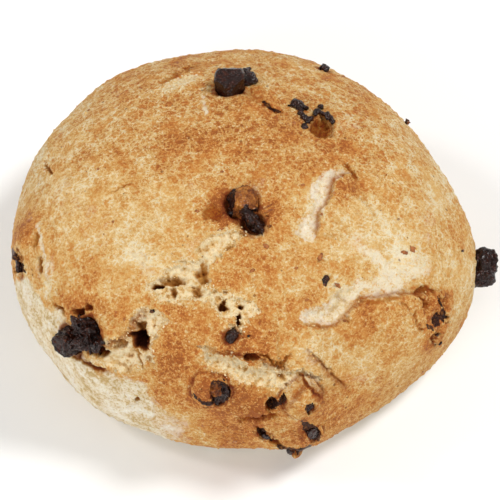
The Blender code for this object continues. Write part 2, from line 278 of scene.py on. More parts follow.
FOLDS = (  # line with the high plate on its left, height of its lip, how far back it settles
    (((39.0, -8.4), (33.0, -9.2), (28.5, -9.2), (25.5, -10.0), (23.0, -9.9), (21.3, -11.8), (19.0, -14.5),
      (15.5, -15.8), (9.0, -15.4)), 1.3, 9.0),
    (((21.5, 16.0), (18.5, 15.0), (17.1, 14.4), (16.7, 12.8), (16.5, 10.9), (15.5, 9.1), (14.2, 7.6),
      (13.6, 6.2), (13.6, 2.0)), 1.4, 7.0),
    (((-9.3, -20.0), (-5.2, -21.0), (-0.5, -21.4), (2.5, -22.4), (6.2, -24.4), (8.0, -22.6)), 0.9, 7.0),
    (((11.0, -19.8), (13.8, -22.2), (15.9, -24.7), (20.5, -28.6)), 0.3, 5.0),
    (((-34.0, -21.6), (-31.0, -23.6), (-28.0, -25.2)), 0.7, 5.0),
    (((-30.5, -19.6), (-27.5, -18.4), (-24.9, -17.0), (-23.9, -15.0), (-22.0, -12.0)), 0.8, 5.0),
    (((11.0, -25.6), (8.9, -27.9), (7.2, -29.9), (5.4, -32.3)), 1.2, 4.0),
    (((15.0, -31.0), (14.0, -29.7), (10.7, -26.0)), 0.9, 4.0),
)
CREASES = (  # line, half width, depth, how much painted shade darkens it
    (((-2.1, -35.0), (1.6, -34.8), (4.0, -34.3), (5.8, -33.9)), 0.45, 1.0, 0.38),
    (((2.4, 30.7), (3.5, 30.0), (4.5, 29.2), (6.6, 28.4)), 0.40, 0.8, 0.5),
    (((-1.0, 33.0), (0.4, 32.0), (1.8, 31.0)), 0.9, 0.6, 0.12),
    (((11.9, -20.4), (13.8, -22.0), (15.9, -24.5), (19.6, -27.8)), 0.22, 0.3, 0.22),
    (((1.6, -21.4), (4.1, -22.6), (6.0, -24.2), (7.0, -23.0), (8.2, -22.0)), 0.4, 0.9, 0.45),
    (((-43.3, -1.2), (-42.9, -3.0), (-43.0, -4.7)), 0.35, 1.0, 0.60),
    (((-42.4, 18.0), (-41.0, 15.6)), 0.35, 0.5, 0.50),
    (((-40.2, -11.2), (-39.2, -12.0), (-38.0, -13.8)), 0.4, 1.2, 0.70),
    (((-28.7, 11.7), (-26.0, 13.2), (-24.3, 14.0)), 0.2, 0.3, 0.30),
    (((-24.0, -20.4), (-23.2, -22.6), (-21.9, -24.2)), 0.3, 0.5, 0.40),
    (((1.4, -36.5), (2.8, -38.0), (4.6, -39.4), (6.8, -40.4)), 0.5, 1.2, 0.85),
    (((-37.0, -21.5), (-34.6, -22.7), (-31.4, -24.4), (-29.9, -25.0)), 0.35, 0.6, 0.80),
    (((19.7, 17.8), (20.6, 16.4), (22.0, 14.8)), 0.40, 0.6, 0.40),
    (((34.2, -12.2), (34.0, -13.8), (34.6, -15.5), (35.8, -16.5)), 0.3, 0.5, 0.35),
    (((33.6, -9.0), (35.0, -8.2), (36.7, -8.0), (38.1, -8.9)), 0.45, 0.5, 0.42),
    (((35.0, -9.3), (36.1, -10.3), (36.5, -11.9)), 0.35, 0.6, 0.45),
    (((30.9, -11.1), (32.6, -11.9), (33.6, -13.6)), 0.3, 0.3, 0.22),
    (((22.6, -10.6), (25.4, -10.9), (28.5, -10.0), (32.0, -10.0)), 0.5, 0.15, 0.24),
    (((10.4, -25.8), (12.2, -27.8), (13.8, -29.3)), 0.40, 0.5, 0.72),
    (((-18.6, 34.2), (-15.6, 35.9), (-12.8, 37.3), (-10.4, 38.2)), 0.50, 0.3, 0.26),
)
SWELLS = (  # place, height, radius
    ((-8.0, -28.4), 1.0, 5.5), ((10.3, -30.0), 2.0, 6.5), ((12.0, -38.0), 1.7, 6.5),
    ((33.0, -15.0), 1.0, 8.5), ((-46.5, 2.4), 1.3, 3.6), ((-34.0, -20.0), 1.0, 7.0),
    ((-4.0, -3.0), -0.8, 9.0), ((38.0, -13.5), 0.7, 4.0),
)
CRINKLED = (  # place, height, radius
    ((36.6, -11.5), 1.7, 3.6), ((36.8, -17.5), 1.2, 3.0), ((8.0, -38.5), 0.8, 4.5), ((-46.5, 0.0), 0.6, 3.5),
    ((-1.0, 0.0), 0.5, 4.0), ((-28.0, -15.5), 0.4, 5.0),
)
print(len(TEARS), "tears,", len(PITS), "pits,", len(FOLDS), "folds,", len(CREASES), "creases")

# %% [markdown]
# ## Uneven numbers
# Dough has no clean edge anywhere. `rough` gives each point a fractal value between about -1 and 1, whose
# largest lumps are `size` millimetres across. The same point always gets the same value.

# %% A rough value for each point
def rough(points, size, octaves=3, shift=0.0):
    moved = points / size + shift
    return np.array([noise.fractal(Vector(p), 0.8, 2.0, octaves) for p in moved])


print("rough along 20 mm of the crown:", np.round(rough(np.outer(np.arange(5), (5.0, 0.0, 0.0)), 8.0), 2))

# %% [markdown]
# ## A ball with fine skin where it counts
# The dough starts as a ball of triangles. Evenly fine triangles would be wasted on the base, so edges are
# cut only where something shows: once over the crust, again in front, and again near tears and dates.

# %% Refining the ball
BALL_DETAIL = 6  # about 1.5 mm an edge on a scone of this size


def near_features(points):
    """How close each point of the dome is to the nearest tear, pit, crease or fold, in millimetres."""
    spots = on_drawing(points)
    nearest = np.full(len(points), np.inf)
    for outline, _, _ in TEARS.values():
        nearest = np.minimum(nearest, -inside_outline(spots, outline))
    for middle, half, *_ in PITS:
        nearest = np.minimum(nearest, np.linalg.norm(spots - middle, axis=1) - max(half))
    for line, half, *_ in CREASES:
        nearest = np.minimum(nearest, beside_line(spots, line)[0] - half)
    for line, _, _ in FOLDS:
        nearest = np.minimum(nearest, beside_line(spots, line)[0] - 0.2)
    hidden = faces_eye(points, normals_at(points)) < 0.02
    return np.where(hidden, np.inf, nearest)


date_trees = {}
date_middles = {}
for name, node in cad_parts.items():
    if name != "dough":
        corners = [tuple(v.co / MM) for v in node.data.vertices]
        date_trees[name] = BVHTree.FromPolygons(corners, [tuple(p.vertices) for p in node.data.polygons])
        date_middles[name] = (np.array(corners).min(0) + np.array(corners).max(0)) / 2


def near_dates(points):
    nearest = np.full(len(points), np.inf)
    for name, middle in date_middles.items():
        low, high = (np.array(corner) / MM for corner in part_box(name))
        nearest = np.minimum(nearest, np.linalg.norm(points - middle, axis=1) - (high - low).max() / 2)
    return nearest


print("dates with sockets that need fine skin:", len(date_trees))

# %% [markdown]
# A triangle is cut in four by cutting each of its edges once. Its neighbours get a new corner on one edge
# and are made into triangles again, so the skin never gaps. Then the dome formula is asked for its place.

# %% Cutting the ball finer
def refine(ball, wanted):
    """Cuts in four the triangles whose middle is wanted, and keeps the ball round."""
    centres = np.array([face.calc_center_median().normalized() for face in ball.faces])
    chosen = wanted(dome(centres))
    edges = {edge for face, yes in zip(ball.faces, chosen) if yes for edge in face.edges}
    bmesh.ops.subdivide_edges(ball, edges=list(edges), cuts=1)
    bmesh.ops.triangulate(ball, faces=[face for face in ball.faces if len(face.verts) > 3])
    for vertex in ball.verts:
        vertex.co.normalize()


def crust_shows(points):
    return points[:, 2] > 1.0


def seen_from_front(points):
    return (points[:, 2] > 3.0) & (faces_eye(points, normals_at(points)) > 0.12)


def close_work(points):
    return (points[:, 2] > 1.0) & ((near_features(points) < 0.6) | (near_dates(points) < 0.4))


ball = bmesh.new()
bmesh.ops.create_icosphere(ball, subdivisions=BALL_DETAIL, radius=1.0)
for zone in (crust_shows, seen_from_front, close_work):
    refine(ball, zone)
dough_mesh = bpy.data.meshes.new("dough_skin")
ball.to_mesh(dough_mesh)
ball.free()
print("dough:", len(dough_mesh.polygons), "triangles,", round(time.time() - started, 1), "s")

# %% [markdown]
# ## The relief of the crust
# Dough moves in sizes: broad swells, then the lips of folded plates, then tears, then grain. The slow forms
# come first, since they carry everything else. A fold is a step up from one side of its line to the other
# that settles back over a few millimetres, as a plate of crust does when it rides over its neighbour.

# %% Slow forms
directions = np.empty(3 * len(dough_mesh.vertices))
dough_mesh.vertices.foreach_get("co", directions)
directions = directions.reshape(-1, 3)
skin = dome(directions / np.linalg.norm(directions, axis=1, keepdims=True))
outward = normals_at(skin)
outward[skin[:, 2] <= 0.0] = (0.0, 0.0, -1.0)
above_base = smooth(skin[:, 2], 0.2, 4.0)
seen = faces_eye(skin, outward) > -0.05

CRUST_SWELL, CRUST_SWELL_SIZE = 0.55, 17.0
push = np.array([noise.noise(Vector(p / CRUST_SWELL_SIZE)) for p in skin]) * 2 * CRUST_SWELL
for place, height, radius in SWELLS:
    push += height * bump(np.linalg.norm(skin - drop(place), axis=1), radius)
push += 0.16 * rough(skin, 5.5, 2, 3.1)
crinkles = rough(skin, 2.6, 3, 41.0)
for place, height, radius in CRINKLED:
    push += height * crinkles * bump(np.linalg.norm(skin - drop(place), axis=1), radius)


def ragged(points, amount):
    """Places on the drawing, shifted by a random few tenths of a millimetre so that no line runs clean."""
    wander = np.stack((rough(points, 2.2, 3, 5.0), rough(points, 2.2, 3, 6.0)), axis=1)
    tremble = np.stack((rough(points, 0.7, 2, 7.0), rough(points, 0.7, 2, 8.0)), axis=1)
    return on_drawing(points) + amount * (0.55 * wander + 0.28 * tremble)


places = ragged(skin, 1.0)
fold_shade = np.zeros(len(skin))
for line, height, settle in FOLDS:
    distance, left, along = beside_line(places, line)
    distance = np.where(seen, distance, 99.0)
    taper = np.clip(4.0 * along * (1.0 - along) * 2.0, 0.0, 1.0)
    step = smooth(np.where(left, distance, -distance), -0.15, 0.55)
    push += height * step * bump(distance, settle) * taper
    fold_shade = np.maximum(fold_shade, (1 - step) * bump(distance, 0.8) * taper)
skin = skin + outward * (push * above_base)[:, None]
print("slow forms push the skin by, mm:", np.round((push.min(), push.max()), 1))

# %% [markdown]
# A quick rip opens a trough full of crumb, clods a couple of millimetres across with finer crumbs on them.
# A slow stretch leaves a shallow, smooth dip instead. `rip` says where a tear lies between the two. Its
# outline is frayed by a few tenths of a millimetre, and pits and creases are sunk in it by the same rule.

# %% Tears and their crumb
places = ragged(skin, 1.0)
ripped_places = ragged(skin, 1.7)
tear_edge = np.full(len(skin), -9.0)
tear_depth = np.zeros(len(skin))
crumbly = np.zeros(len(skin))
for outline, depth, rip in TEARS.values():
    inside = np.where(seen, inside_outline(ripped_places if rip > 0.6 else places, outline), -9.0)
    crumbly = np.where(inside > tear_edge, rip, crumbly)
    tear_edge = np.maximum(tear_edge, inside)
    floor = depth * (0.6 * smooth(inside, -0.15, 0.4 + 1.6 * (1 - rip)) + 0.4 * smooth(inside, 0.2, 2.2))
    tear_depth = np.maximum(tear_depth, floor)
clods = 1.0 - 2.0 * np.abs(rough(skin, 2.0, 2, 2.0))
crumbs = 0.30 * clods + 0.20 * rough(skin, 0.75, 2, 4.0) + 0.10 * rough(skin, 0.42, 1, 14.0)
torn = smooth(tear_edge, 0.0, 0.4)

# Pits, creases and the deep hole also get painted shade, on top of the shadow that their depth casts.
pit_depth = np.zeros(len(skin))
hollow_shade = np.zeros(len(skin))
for middle, half, turn, depth, shade in PITS:
    away = places - middle
    c, s = math.cos(math.radians(turn)), math.sin(math.radians(turn))
    ratio = np.linalg.norm(np.stack((away @ (c, s), away @ (-s, c)), axis=1) / half, axis=1)
    sunk = smooth(-np.where(seen, ratio, 9.0), -1.12, -0.55)
    pit_depth = np.maximum(pit_depth, depth * sunk)
    hollow_shade = np.maximum(hollow_shade, shade * sunk)
for line, half, depth, shade in CREASES:
    distance, _, along = beside_line(places, line)
    taper = np.clip(8.0 * along * (1.0 - along), 0.0, 1.0)
    sunk = smooth(-np.where(seen, distance, 99.0), -half * 1.4, -half * 0.3) * (0.35 + 0.65 * taper)
    pit_depth = np.maximum(pit_depth, depth * sunk)
    hollow_shade = np.maximum(hollow_shade, shade * sunk)
deep = np.where(seen, inside_outline(places, DEEP_HOLE), -9.0)
pit_depth = np.maximum(pit_depth, DEEP_HOLE_DEPTH * smooth(deep, -0.1, 1.3))
hollow_shade = np.maximum(hollow_shade, smooth(deep, -0.35, 0.25))
print("torn points:", int((torn > 0.5).sum()), "and the deepest pit, mm:", round(float(pit_depth.max()), 1))

# %% [markdown]
# Some dates lie just under the skin: a film of dough covers them and bakes brown, and they show bare only
# where the film broke. There the skin is lifted over the date; elsewhere it dips into a snug socket.

# %% Sockets and veils for the dates
BARE = {  # dates under a film of dough, with the outlines where the film broke
    "date_coated": (
        ((-7.8, -27.0), (-5.8, -26.8), (-4.3, -28.0), (-3.9, -29.7), (-4.5, -30.9), (-6.4, -31.3),
         (-7.6, -30.3), (-8.2, -28.6)),
        ((-12.4, -29.5), (-11.3, -29.7), (-10.3, -30.7), (-8.9, -31.3), (-7.0, -31.3), (-7.0, -31.9),
         (-8.4, -32.3), (-10.1, -31.7), (-11.3, -30.7))),
    "date_block": (
        ((3.9, -30.1), (5.4, -30.3), (6.0, -31.7), (5.6, -33.0), (4.3, -33.2), (3.5, -32.1)),
        ((7.0, -29.3), (7.6, -29.9), (6.6, -31.7), (5.8, -31.9), (6.0, -30.7)),
        ((11.5, -31.7), (13.0, -31.5), (13.2, -32.1), (11.9, -33.2), (11.3, -32.8))),
    "date_shoulder": (
        ((38.5, -9.3), (39.3, -9.9), (40.0, -11.9), (40.4, -13.6), (40.0, -15.2), (39.1, -14.0),
         (39.3, -11.9), (38.7, -10.3)),
        ((37.7, -13.2), (38.5, -12.6), (39.3, -13.8), (39.1, -15.5), (37.9, -15.9), (37.3, -14.6)),
        ((36.1, -15.2), (37.5, -15.7), (38.1, -16.6), (36.7, -16.6))),
    "date_left": (
        ((-49.4, 0.6), (-48.0, -0.6), (-47.0, -2.4), (-46.0, -4.8), (-47.1, -4.7), (-48.1, -2.9),
         (-49.4, -1.4)),),
    "date_foot": (
        ((10.5, -35.0), (12.8, -35.6), (14.6, -37.3), (14.4, -39.3), (12.4, -38.5), (10.7, -36.9)),),
    "date_foot_rim": (
        ((5.0, -39.6), (7.0, -40.2), (8.9, -40.9), (10.9, -40.6), (12.8, -39.8), (12.4, -42.0),
         (8.9, -42.4), (6.0, -41.6)),),
    "date_foot_chip": (
        ((1.2, -36.5), (2.5, -36.5), (3.9, -37.9), (4.9, -39.5), (3.1, -39.1), (1.9, -37.9)),),
    "a burnt slit": (
        ((2.5, 30.3), (3.1, 30.7), (4.1, 29.9), (4.3, 29.5), (5.2, 29.3), (6.6, 28.8), (6.4, 28.0),
         (5.4, 28.4), (4.5, 28.6), (3.7, 29.3), (3.1, 29.9)),),
}
print(sum(len(outlines) for outlines in BARE.values()), "places where the film broke")

# %% [markdown]
# Each point of skin near a date asks the date's own mesh how deep it lies. Bare places press in to fit the
# date, and veiled places are lifted until they clear it by the film's thickness.

# %% Pressing sockets and lifting veils
FILM = 0.28  # how thick the dough over a date is
SEARCH = 8.0  # how far out the search for a covered date starts
NEARBY = 1.6
SNUG_UNDER_FILM, SNUG_IN_SOCKET = 0.5, 1.3
SCRAPS_ON_TOP = ("date_flake", "date_flake_bit", "date_back_crumb")  # too small to press a socket
socket = np.zeros(len(skin))
veil = np.zeros(len(skin))
veiled = np.zeros(len(skin))
date_near = np.full(len(skin), 9.0)


def inside_bare(points):
    """How far points lie inside the outlines where film broke, in millimetres."""
    fine_places = ragged(points, 0.6)
    depths = [inside_outline(fine_places, outline) for outlines in BARE.values() for outline in outlines]
    return np.where(seen, np.max(depths, axis=0), -9.0)


bared = inside_bare(skin)
for name, tree in date_trees.items():
    if name in SCRAPS_ON_TOP:
        continue
    low, high = (np.array(corner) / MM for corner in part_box(name))
    close = np.nonzero(((skin > low - NEARBY) & (skin < high + NEARBY)).all(axis=1))[0]
    for index, shows in zip(close, bared[close] if name in BARE else np.full(len(close), 9.0)):
        at, facing, _, distance = tree.find_nearest(Vector(skin[index]))
        depth = distance if (Vector(skin[index]) - at).dot(facing) < 0 else -distance
        date_near[index] = min(date_near[index], -depth)
        if shows > 0:
            snug = SNUG_UNDER_FILM if name in BARE else SNUG_IN_SOCKET
            socket[index] = max(socket[index], snug * float(smooth(np.array(depth), -0.25, 0.75)))
        else:
            start = Vector(skin[index] + SEARCH * outward[index])
            hit, _, _, down = tree.ray_cast(start, Vector(-outward[index]), SEARCH + 1.0)
            if hit is not None:
                veil[index] = max(veil[index], SEARCH - down + FILM)
                veiled[index] = 1.0
date_near = np.where(veiled > 0, np.maximum(date_near, 0.9), date_near)
print("points in sockets:", int((socket > 0).sum()), "and under a film:", int(veiled.sum()))

# %% [markdown]
# Last comes the relief of calm crust: wrinkles under 2 mm apart, small blisters, and a thin lip that curls
# up round each tear. All heights add up to one, and each point moves by it along the way its skin faces.

# %% The finished skin
wrinkles = 0.5 - np.abs(rough(skin, 1.7, 3, 11.0))
grain = 0.09 * wrinkles + 0.05 * rough(skin, 0.8, 2, 13.0)
blisters = 0.22 * smooth(rough(skin, 1.1, 2, 17.0), 0.30, 0.62)
lip = 0.16 * bump(tear_edge + 0.3, 0.35)
relief = (grain + blisters) * (1 - torn) + lip - tear_depth - pit_depth - socket
relief += torn * crumbs * (0.15 + 0.85 * crumbly) + 0.5 * crumbs * np.clip(pit_depth, 0, 1)
relief = np.where(veiled > 0, np.maximum(relief, veil + grain), relief)
skin = skin + outward * (relief * above_base)[:, None]
skin[:, 2] = np.maximum(skin[:, 2], 0.0)
dough_mesh.vertices.foreach_set("co", (skin * MM).ravel())
dough_mesh.shade_smooth()
dough_mesh.update()
skin_tree = BVHTree.FromPolygons([tuple(p) for p in skin], [tuple(p.vertices) for p in dough_mesh.polygons])


def on_skin(place):
    """The point of the finished skin that shows at a place of the drawing, and the way it faces."""
    sight = MIDDLE + place[0] * ACROSS + place[1] * DRAWING_UP - EYE
    hit, facing, _, _ = skin_tree.ray_cast(Vector(EYE), Vector(sight).normalized())
    if hit is None:
        hit = drop(place)
        facing = normals_at(hit)
    return np.array(hit), np.array(facing)


print("relief done,", round(time.time() - started, 1), "s")

# %% [markdown]
# ## How brown, and where
# Browning follows heat and moisture: the top and whatever stands proud colours first, tears and the
# sheltered foot stay pale. A few soft patches, set out on the drawing, carry the batch's own pattern, three
# of them paint the shade beside the crown date, and the rest comes from the shape. The values are stored on
# the mesh, for the material to read.

# %% The browning map
BROWNING_AND_SHADE = (  # place, radius, how much browner
    ((-14.5, 22.5), 9.0, 0.17), ((-4.0, 25.8), 8.0, 0.18), ((8.0, 20.5), 9.0, 0.19),
    ((20.5, 14.0), 5.0, 0.10), ((26.8, 20.5), 8.0, 0.14), ((-28.0, 24.0), 10.0, 0.08),
    ((20.0, 30.0), 9.0, 0.10), ((0.0, 36.0), 16.0, 0.10), ((-28.0, -15.5), 6.0, 0.16),
    ((-15.5, -12.5), 4.0, 0.30), ((-16.5, -19.5), 6.0, 0.20), ((-14.5, -25.0), 7.0, 0.20),
    ((-20.0, -28.0), 8.0, 0.12), ((-2.0, 0.5), 3.6, 0.20), ((1.5, -3.0), 5.0, 0.18),
    ((0.0, -20.0), 6.0, 0.30), ((-3.0, -19.0), 4.0, 0.18), ((-2.0, -30.0), 6.0, 0.18),
    ((20.0, -15.5), 4.0, 0.14), ((20.0, -5.0), 3.0, 0.12), ((31.0, -11.5), 8.0, 0.06),
    ((20.5, -17.5), 7.0, 0.02), ((16.5, -31.0), 7.0, 0.12), ((41.5, 5.0), 4.0, 0.12),
    ((38.0, 1.5), 3.0, 0.14), ((-34.0, -3.0), 3.5, 0.14), ((-1.0, -34.5), 5.0, 0.08),
    ((9.5, 6.8), 3.0, 0.24), ((19.5, 12.2), 4.0, 0.16), ((-46.0, 3.0), 3.5, 0.40),
    # The patches at (-6.0, 9.0), (-5.0, 7.8) and (-3.0, 5.2) are painted shade left of and below the crown
    # date.
    ((-36.5, -11.6), 4.0, 0.22), ((-6.0, 9.0), 3.5, 0.35), ((-5.0, 7.8), 2.2, 0.45),
    ((-3.0, 5.2), 1.8, 0.35), ((4.2, 6.6), 2.2, 0.30), ((-8.5, -28.5), 3.4, 0.22),
    ((37.0, -13.0), 3.6, 0.28), ((37.0, -19.5), 2.6, 0.24), ((9.0, -39.8), 4.0, 0.30),
    ((0.0, -34.6), 3.0, 0.10), ((-4.0, -37.5), 7.0, 0.24), ((13.0, -12.0), 3.0, 0.14),
    ((20.0, -36.0), 6.0, 0.18), ((24.0, -12.8), 2.6, 0.18), ((28.5, -11.8), 2.4, 0.16),
    ((32.5, -12.5), 2.6, 0.14), ((37.5, -9.8), 2.0, 0.20), ((24.2, -4.8), 1.7, 0.18),
    ((21.6, -3.2), 1.6, 0.08), ((17.8, 10.4), 1.6, 0.20), ((5.5, 8.5), 2.0, 0.22),
    ((-15.0, 33.0), 5.0, 0.16), ((-12.5, 38.5), 3.5, 0.14),
)
PALE = (
    ((29.0, 3.0), 9.0, 0.20), ((28.0, -4.5), 6.0, 0.22), ((-22.0, 5.0), 11.0, 0.08),
    ((-36.0, 12.0), 9.0, 0.10), ((-35.0, 5.0), 8.0, 0.06), ((-24.0, -3.0), 6.0, 0.06),
    ((12.0, 10.5), 4.0, 0.16), ((38.0, 14.0), 7.0, 0.12), ((4.0, 3.5), 4.0, 0.08),
    ((12.0, -21.0), 4.0, 0.10), ((-23.0, -22.0), 5.0, 0.12), ((43.0, -6.0), 5.0, 0.14),
    ((22.0, -21.0), 8.0, 0.10), ((-5.0, -26.5), 3.0, 0.08),
)
FLOURED = (  # place, radius, how thick
    ((23.4, -0.4), 1.1, 0.85), ((25.2, -2.0), 1.2, 0.9), ((27.2, -3.6), 1.4, 1.0),
    ((29.4, -5.2), 1.7, 1.0), ((22.6, -7.8), 1.7, 1.0), ((25.2, -8.0), 1.5, 1.0),
    ((28.0, -7.6), 1.7, 1.0), ((31.6, -6.6), 1.9, 0.9), ((35.2, -4.8), 2.0, 0.70),
    ((33.0, -3.0), 2.0, 0.55), ((30.5, 1.0), 4.0, 0.22), ((36.5, 1.5), 3.0, 0.30),
    ((21.5, 1.8), 2.6, 0.35), ((-11.5, 0.5), 3.0, 0.45), ((-15.5, 34.6), 1.6, 0.4),
    ((13.5, 10.0), 3.2, 0.34), ((-41.5, -4.0), 2.2, 0.5), ((-21.0, -3.5), 4.0, 0.4),
    ((24.0, 8.0), 6.0, 0.32), ((-31.0, 4.0), 6.0, 0.33), ((38.0, 8.0), 5.0, 0.33),
    ((-12.0, 13.0), 5.0, 0.33), ((2.0, 12.5), 3.0, 0.4), ((-38.0, 12.0), 5.0, 0.33),
    ((12.5, -21.5), 3.0, 0.45), ((24.0, -25.0), 5.0, 0.35), ((20.0, 26.0), 4.0, 0.4),
)
FOOT_LINE = (  # where the browned crust ends above the pale, sheltered side
    (-50.5, -5.0), (-46.0, -6.5), (-41.5, -10.5), (-38.2, -16.6), (-35.2, -20.6), (-30.0, -25.0),
    (-22.0, -28.5), (-10.5, -34.5), (-3.5, -38.6), (4.0, -39.8))


print(len(BROWNING_AND_SHADE), "browned patches,", len(PALE), "pale ones and", len(FLOURED), "floured ones")

# %% [markdown]
# Each patch fades out as a bell curve, and its places are shifted by a noise of 2 mm so that no patch is
# round. Skin that faces away from the drawing gets an even browning and a pale foot instead.

# %% Adding the patches up
def soft_patches(patches, frayed):
    total = np.zeros(len(frayed))
    for place, radius, amount in patches:
        total += amount * bump(np.linalg.norm(frayed - place, axis=1), radius)
    return total


wander = np.stack((rough(skin, 6.0, 4, 21.0), rough(skin, 6.0, 4, 23.0)), axis=1)
frayed = on_drawing(skin) + wander * 2.0
in_view = smooth(faces_eye(skin, outward), -0.25, 0.05)
bake_and_shade = 0.46 + in_view * (soft_patches(BROWNING_AND_SHADE, frayed) - soft_patches(PALE, frayed))
bake_and_shade += 0.10 * rough(skin, 9.0, 3, 31.0) - 0.14 * smooth(tear_edge, -1.6, 0.0)
foot_distance, above_foot, _ = beside_line(frayed, FOOT_LINE)
past_foot = np.where(above_foot, foot_distance, -foot_distance)
sheltered = in_view * smooth(-past_foot, -1.2, 1.6) * smooth(-frayed[:, 0], 4.0, 30.0)
low_side = smooth(-skin[:, 2], -13.0, -4.0)
pale_side = np.maximum(sheltered, 0.75 * (1 - in_view) * low_side)


def store(mesh, label, values):
    mesh.attributes.new(label, "FLOAT", "POINT").data.foreach_set("value", values.astype(np.float32))


store(dough_mesh, "bake_and_shade", np.clip(bake_and_shade, 0.0, 1.0))
store(dough_mesh, "wrinkled", 0.65 + 0.35 * smooth(skin[:, 1], -14.0, 12.0))
store(dough_mesh, "pale_side", np.clip(pale_side, 0, 1))
store(dough_mesh, "flour", np.clip(in_view * soft_patches(FLOURED, frayed), 0, 1))
store(dough_mesh, "tear_edge", np.clip(tear_edge, -3, 3))
store(dough_mesh, "crumbly", crumbly)
store(dough_mesh, "crumb_height", np.clip(0.5 + crumbs * 1.1, 0, 1))
store(dough_mesh, "hollow_shade", np.clip(hollow_shade, 0, 1))
store(dough_mesh, "fold_shade", np.clip(fold_shade, 0, 1))
store(dough_mesh, "date_near", np.clip(date_near, -2, 9))
store(dough_mesh, "bared", smooth(inside_bare(skin), -0.15, 0.15))
print("how brown, from the palest tenth to the brownest:", np.round(np.percentile(bake_and_shade, (10, 50, 90)), 2))

# %% [markdown]
# ## Colours and nodes
# Colours are written as the hex values that a painter would pick, and one function turns them to the
# linear values that shaders want. One more small function adds a node with its settings and links, and
# gives back its output. Clouds, nets and dots are patterns built with it, with their sizes in millimetres.

# %% Helpers for materials
def hex_colour(code):
    srgb = [int(code[i:i + 2], 16) / 255 for i in (1, 3, 5)]
    return [c / 12.92 if c <= 0.04045 else ((c + 0.055) / 1.055) ** 2.4 for c in srgb] + [1.0]


MATH, VECTOR_MATH = "ShaderNodeMath", "ShaderNodeVectorMath"
RAMP, MIX = "ShaderNodeValToRGB", "ShaderNodeMix"
STORED, POSITION = "ShaderNodeAttribute", "ShaderNodeTexCoord"
NOISE, CELLS = "ShaderNodeTexNoise", "ShaderNodeTexVoronoi"
SUM, DIFFERENCE, PRODUCT = {"operation": "ADD"}, {"operation": "SUBTRACT"}, {"operation": "MULTIPLY"}
CLAMPED_PRODUCT = {"operation": "MULTIPLY", "use_clamp": True}
LARGER, BELOW_LIMIT = {"operation": "MAXIMUM"}, {"operation": "LESS_THAN"}
COVER = {"data_type": "RGBA", "blend_type": "MIX"}
# Multiplies one colour over another: used for real pores, the browner rim by the dates, and painted shade.
STAIN_AND_SHADE = {"data_type": "RGBA", "blend_type": "MULTIPLY"}
SHARE, BELOW, ABOVE, MIXED = 0, 6, 7, 2  # a mix node's inputs for colour, and its colour output


def add(tree, kind, settings=None, links=None, out=0):
    """Adds a node and gives an output of it. A link's value is a socket or a plain value; a ramp's
    stops are pairs of a position and a hex colour or a grey value."""
    node = tree.nodes.new(kind)
    settings = dict(settings or {})
    stops = settings.pop("stops", ())
    if stops:
        while len(node.color_ramp.elements) < len(stops):
            node.color_ramp.elements.new(0.5)
        for element, (position, colour) in zip(node.color_ramp.elements, stops):
            grey = (colour, colour, colour, 1.0)
            element.position = position
            element.color = hex_colour(colour) if isinstance(colour, str) else grey
    for key, value in settings.items():
        setattr(node, key, value)
    for key, value in (links or {}).items():
        if isinstance(value, bpy.types.NodeSocket):
            tree.links.new(value, node.inputs[key])
        else:
            node.inputs[key].default_value = value
    return node.outputs[out]


def new_material(name):
    material = bpy.data.materials.new(name)
    material.use_nodes = True
    tree = material.node_tree
    return material, tree, tree.nodes["Principled BSDF"]


def weighted(tree, *terms):
    """A sum of (value, weight) pairs."""
    total = 0.0
    for value, weight in terms:
        total = add(tree, MATH, SUM, {0: total, 1: add(tree, MATH, PRODUCT, {0: value, 1: weight})})
    return total


def clouds(tree, size, detail=3.0, roughness=0.55, distortion=0.0, shift=0.0):
    """Cloudy noise around 0, whose largest lumps are size millimetres across."""
    moved = add(tree, VECTOR_MATH, SUM, {0: add(tree, POSITION, out="Object"), 1: (shift, shift, shift)})
    cloudy = add(tree, NOISE, links={"Vector": moved, "Scale": 1.0 / (size * MM), "Detail": detail,
                                     "Roughness": roughness, "Distortion": distortion}, out="Fac")
    return add(tree, MATH, DIFFERENCE, {0: cloudy, 1: 0.5})


def net(tree, spacing, width, shift):
    """Thin crooked lines that meet in a net: the spacing and width of the lines are in millimetres."""
    position = add(tree, POSITION, out="Object")
    bend = add(tree, NOISE, links={"Vector": position, "Scale": 1.0 / (1.2 * spacing * MM),
                                   "Detail": 5.0, "Roughness": 0.7}, out="Color")
    push = add(tree, VECTOR_MATH, {"operation": "SCALE"}, {0: bend, "Scale": 2.2 * spacing * MM})
    moved = add(tree, VECTOR_MATH, SUM, {0: position, 1: push})
    moved = add(tree, VECTOR_MATH, SUM, {0: moved, 1: (shift, shift, shift)})
    to_line = add(tree, CELLS, {"feature": "DISTANCE_TO_EDGE"},
                  {"Vector": moved, "Scale": 1.0 / (spacing * MM)}, "Distance")
    away = add(tree, MATH, {"operation": "DIVIDE"}, {0: to_line, 1: width / spacing})
    return add(tree, MATH, {"operation": "SUBTRACT", "use_clamp": True}, {0: 1.0, 1: away})


def dots(tree, spacing, radius, share, shift=0.0):
    """Random round spots: spacing and radius in millimetres, and the share of places that have one."""
    moved = add(tree, VECTOR_MATH, SUM, {0: add(tree, POSITION, out="Object"), 1: (shift, shift, shift)})
    distance = add(tree, CELLS, links={"Vector": moved, "Scale": 1.0 / (spacing * MM)}, out="Distance")
    wobble = add(tree, MATH, PRODUCT, {0: clouds(tree, 0.5), 1: 0.12})
    wobbly = add(tree, MATH, SUM, {0: distance, 1: wobble})
    near = add(tree, MATH, BELOW_LIMIT, {0: wobbly, 1: radius / spacing})
    lot = add(tree, "ShaderNodeSeparateColor", links={0: distance.node.outputs["Color"]})
    chosen = add(tree, MATH, BELOW_LIMIT, {0: lot, 1: share})
    return add(tree, MATH, PRODUCT, {0: near, 1: chosen})


print("a golden crust in linear light:", [round(part, 3) for part in hex_colour("#daa35a")[:3]])
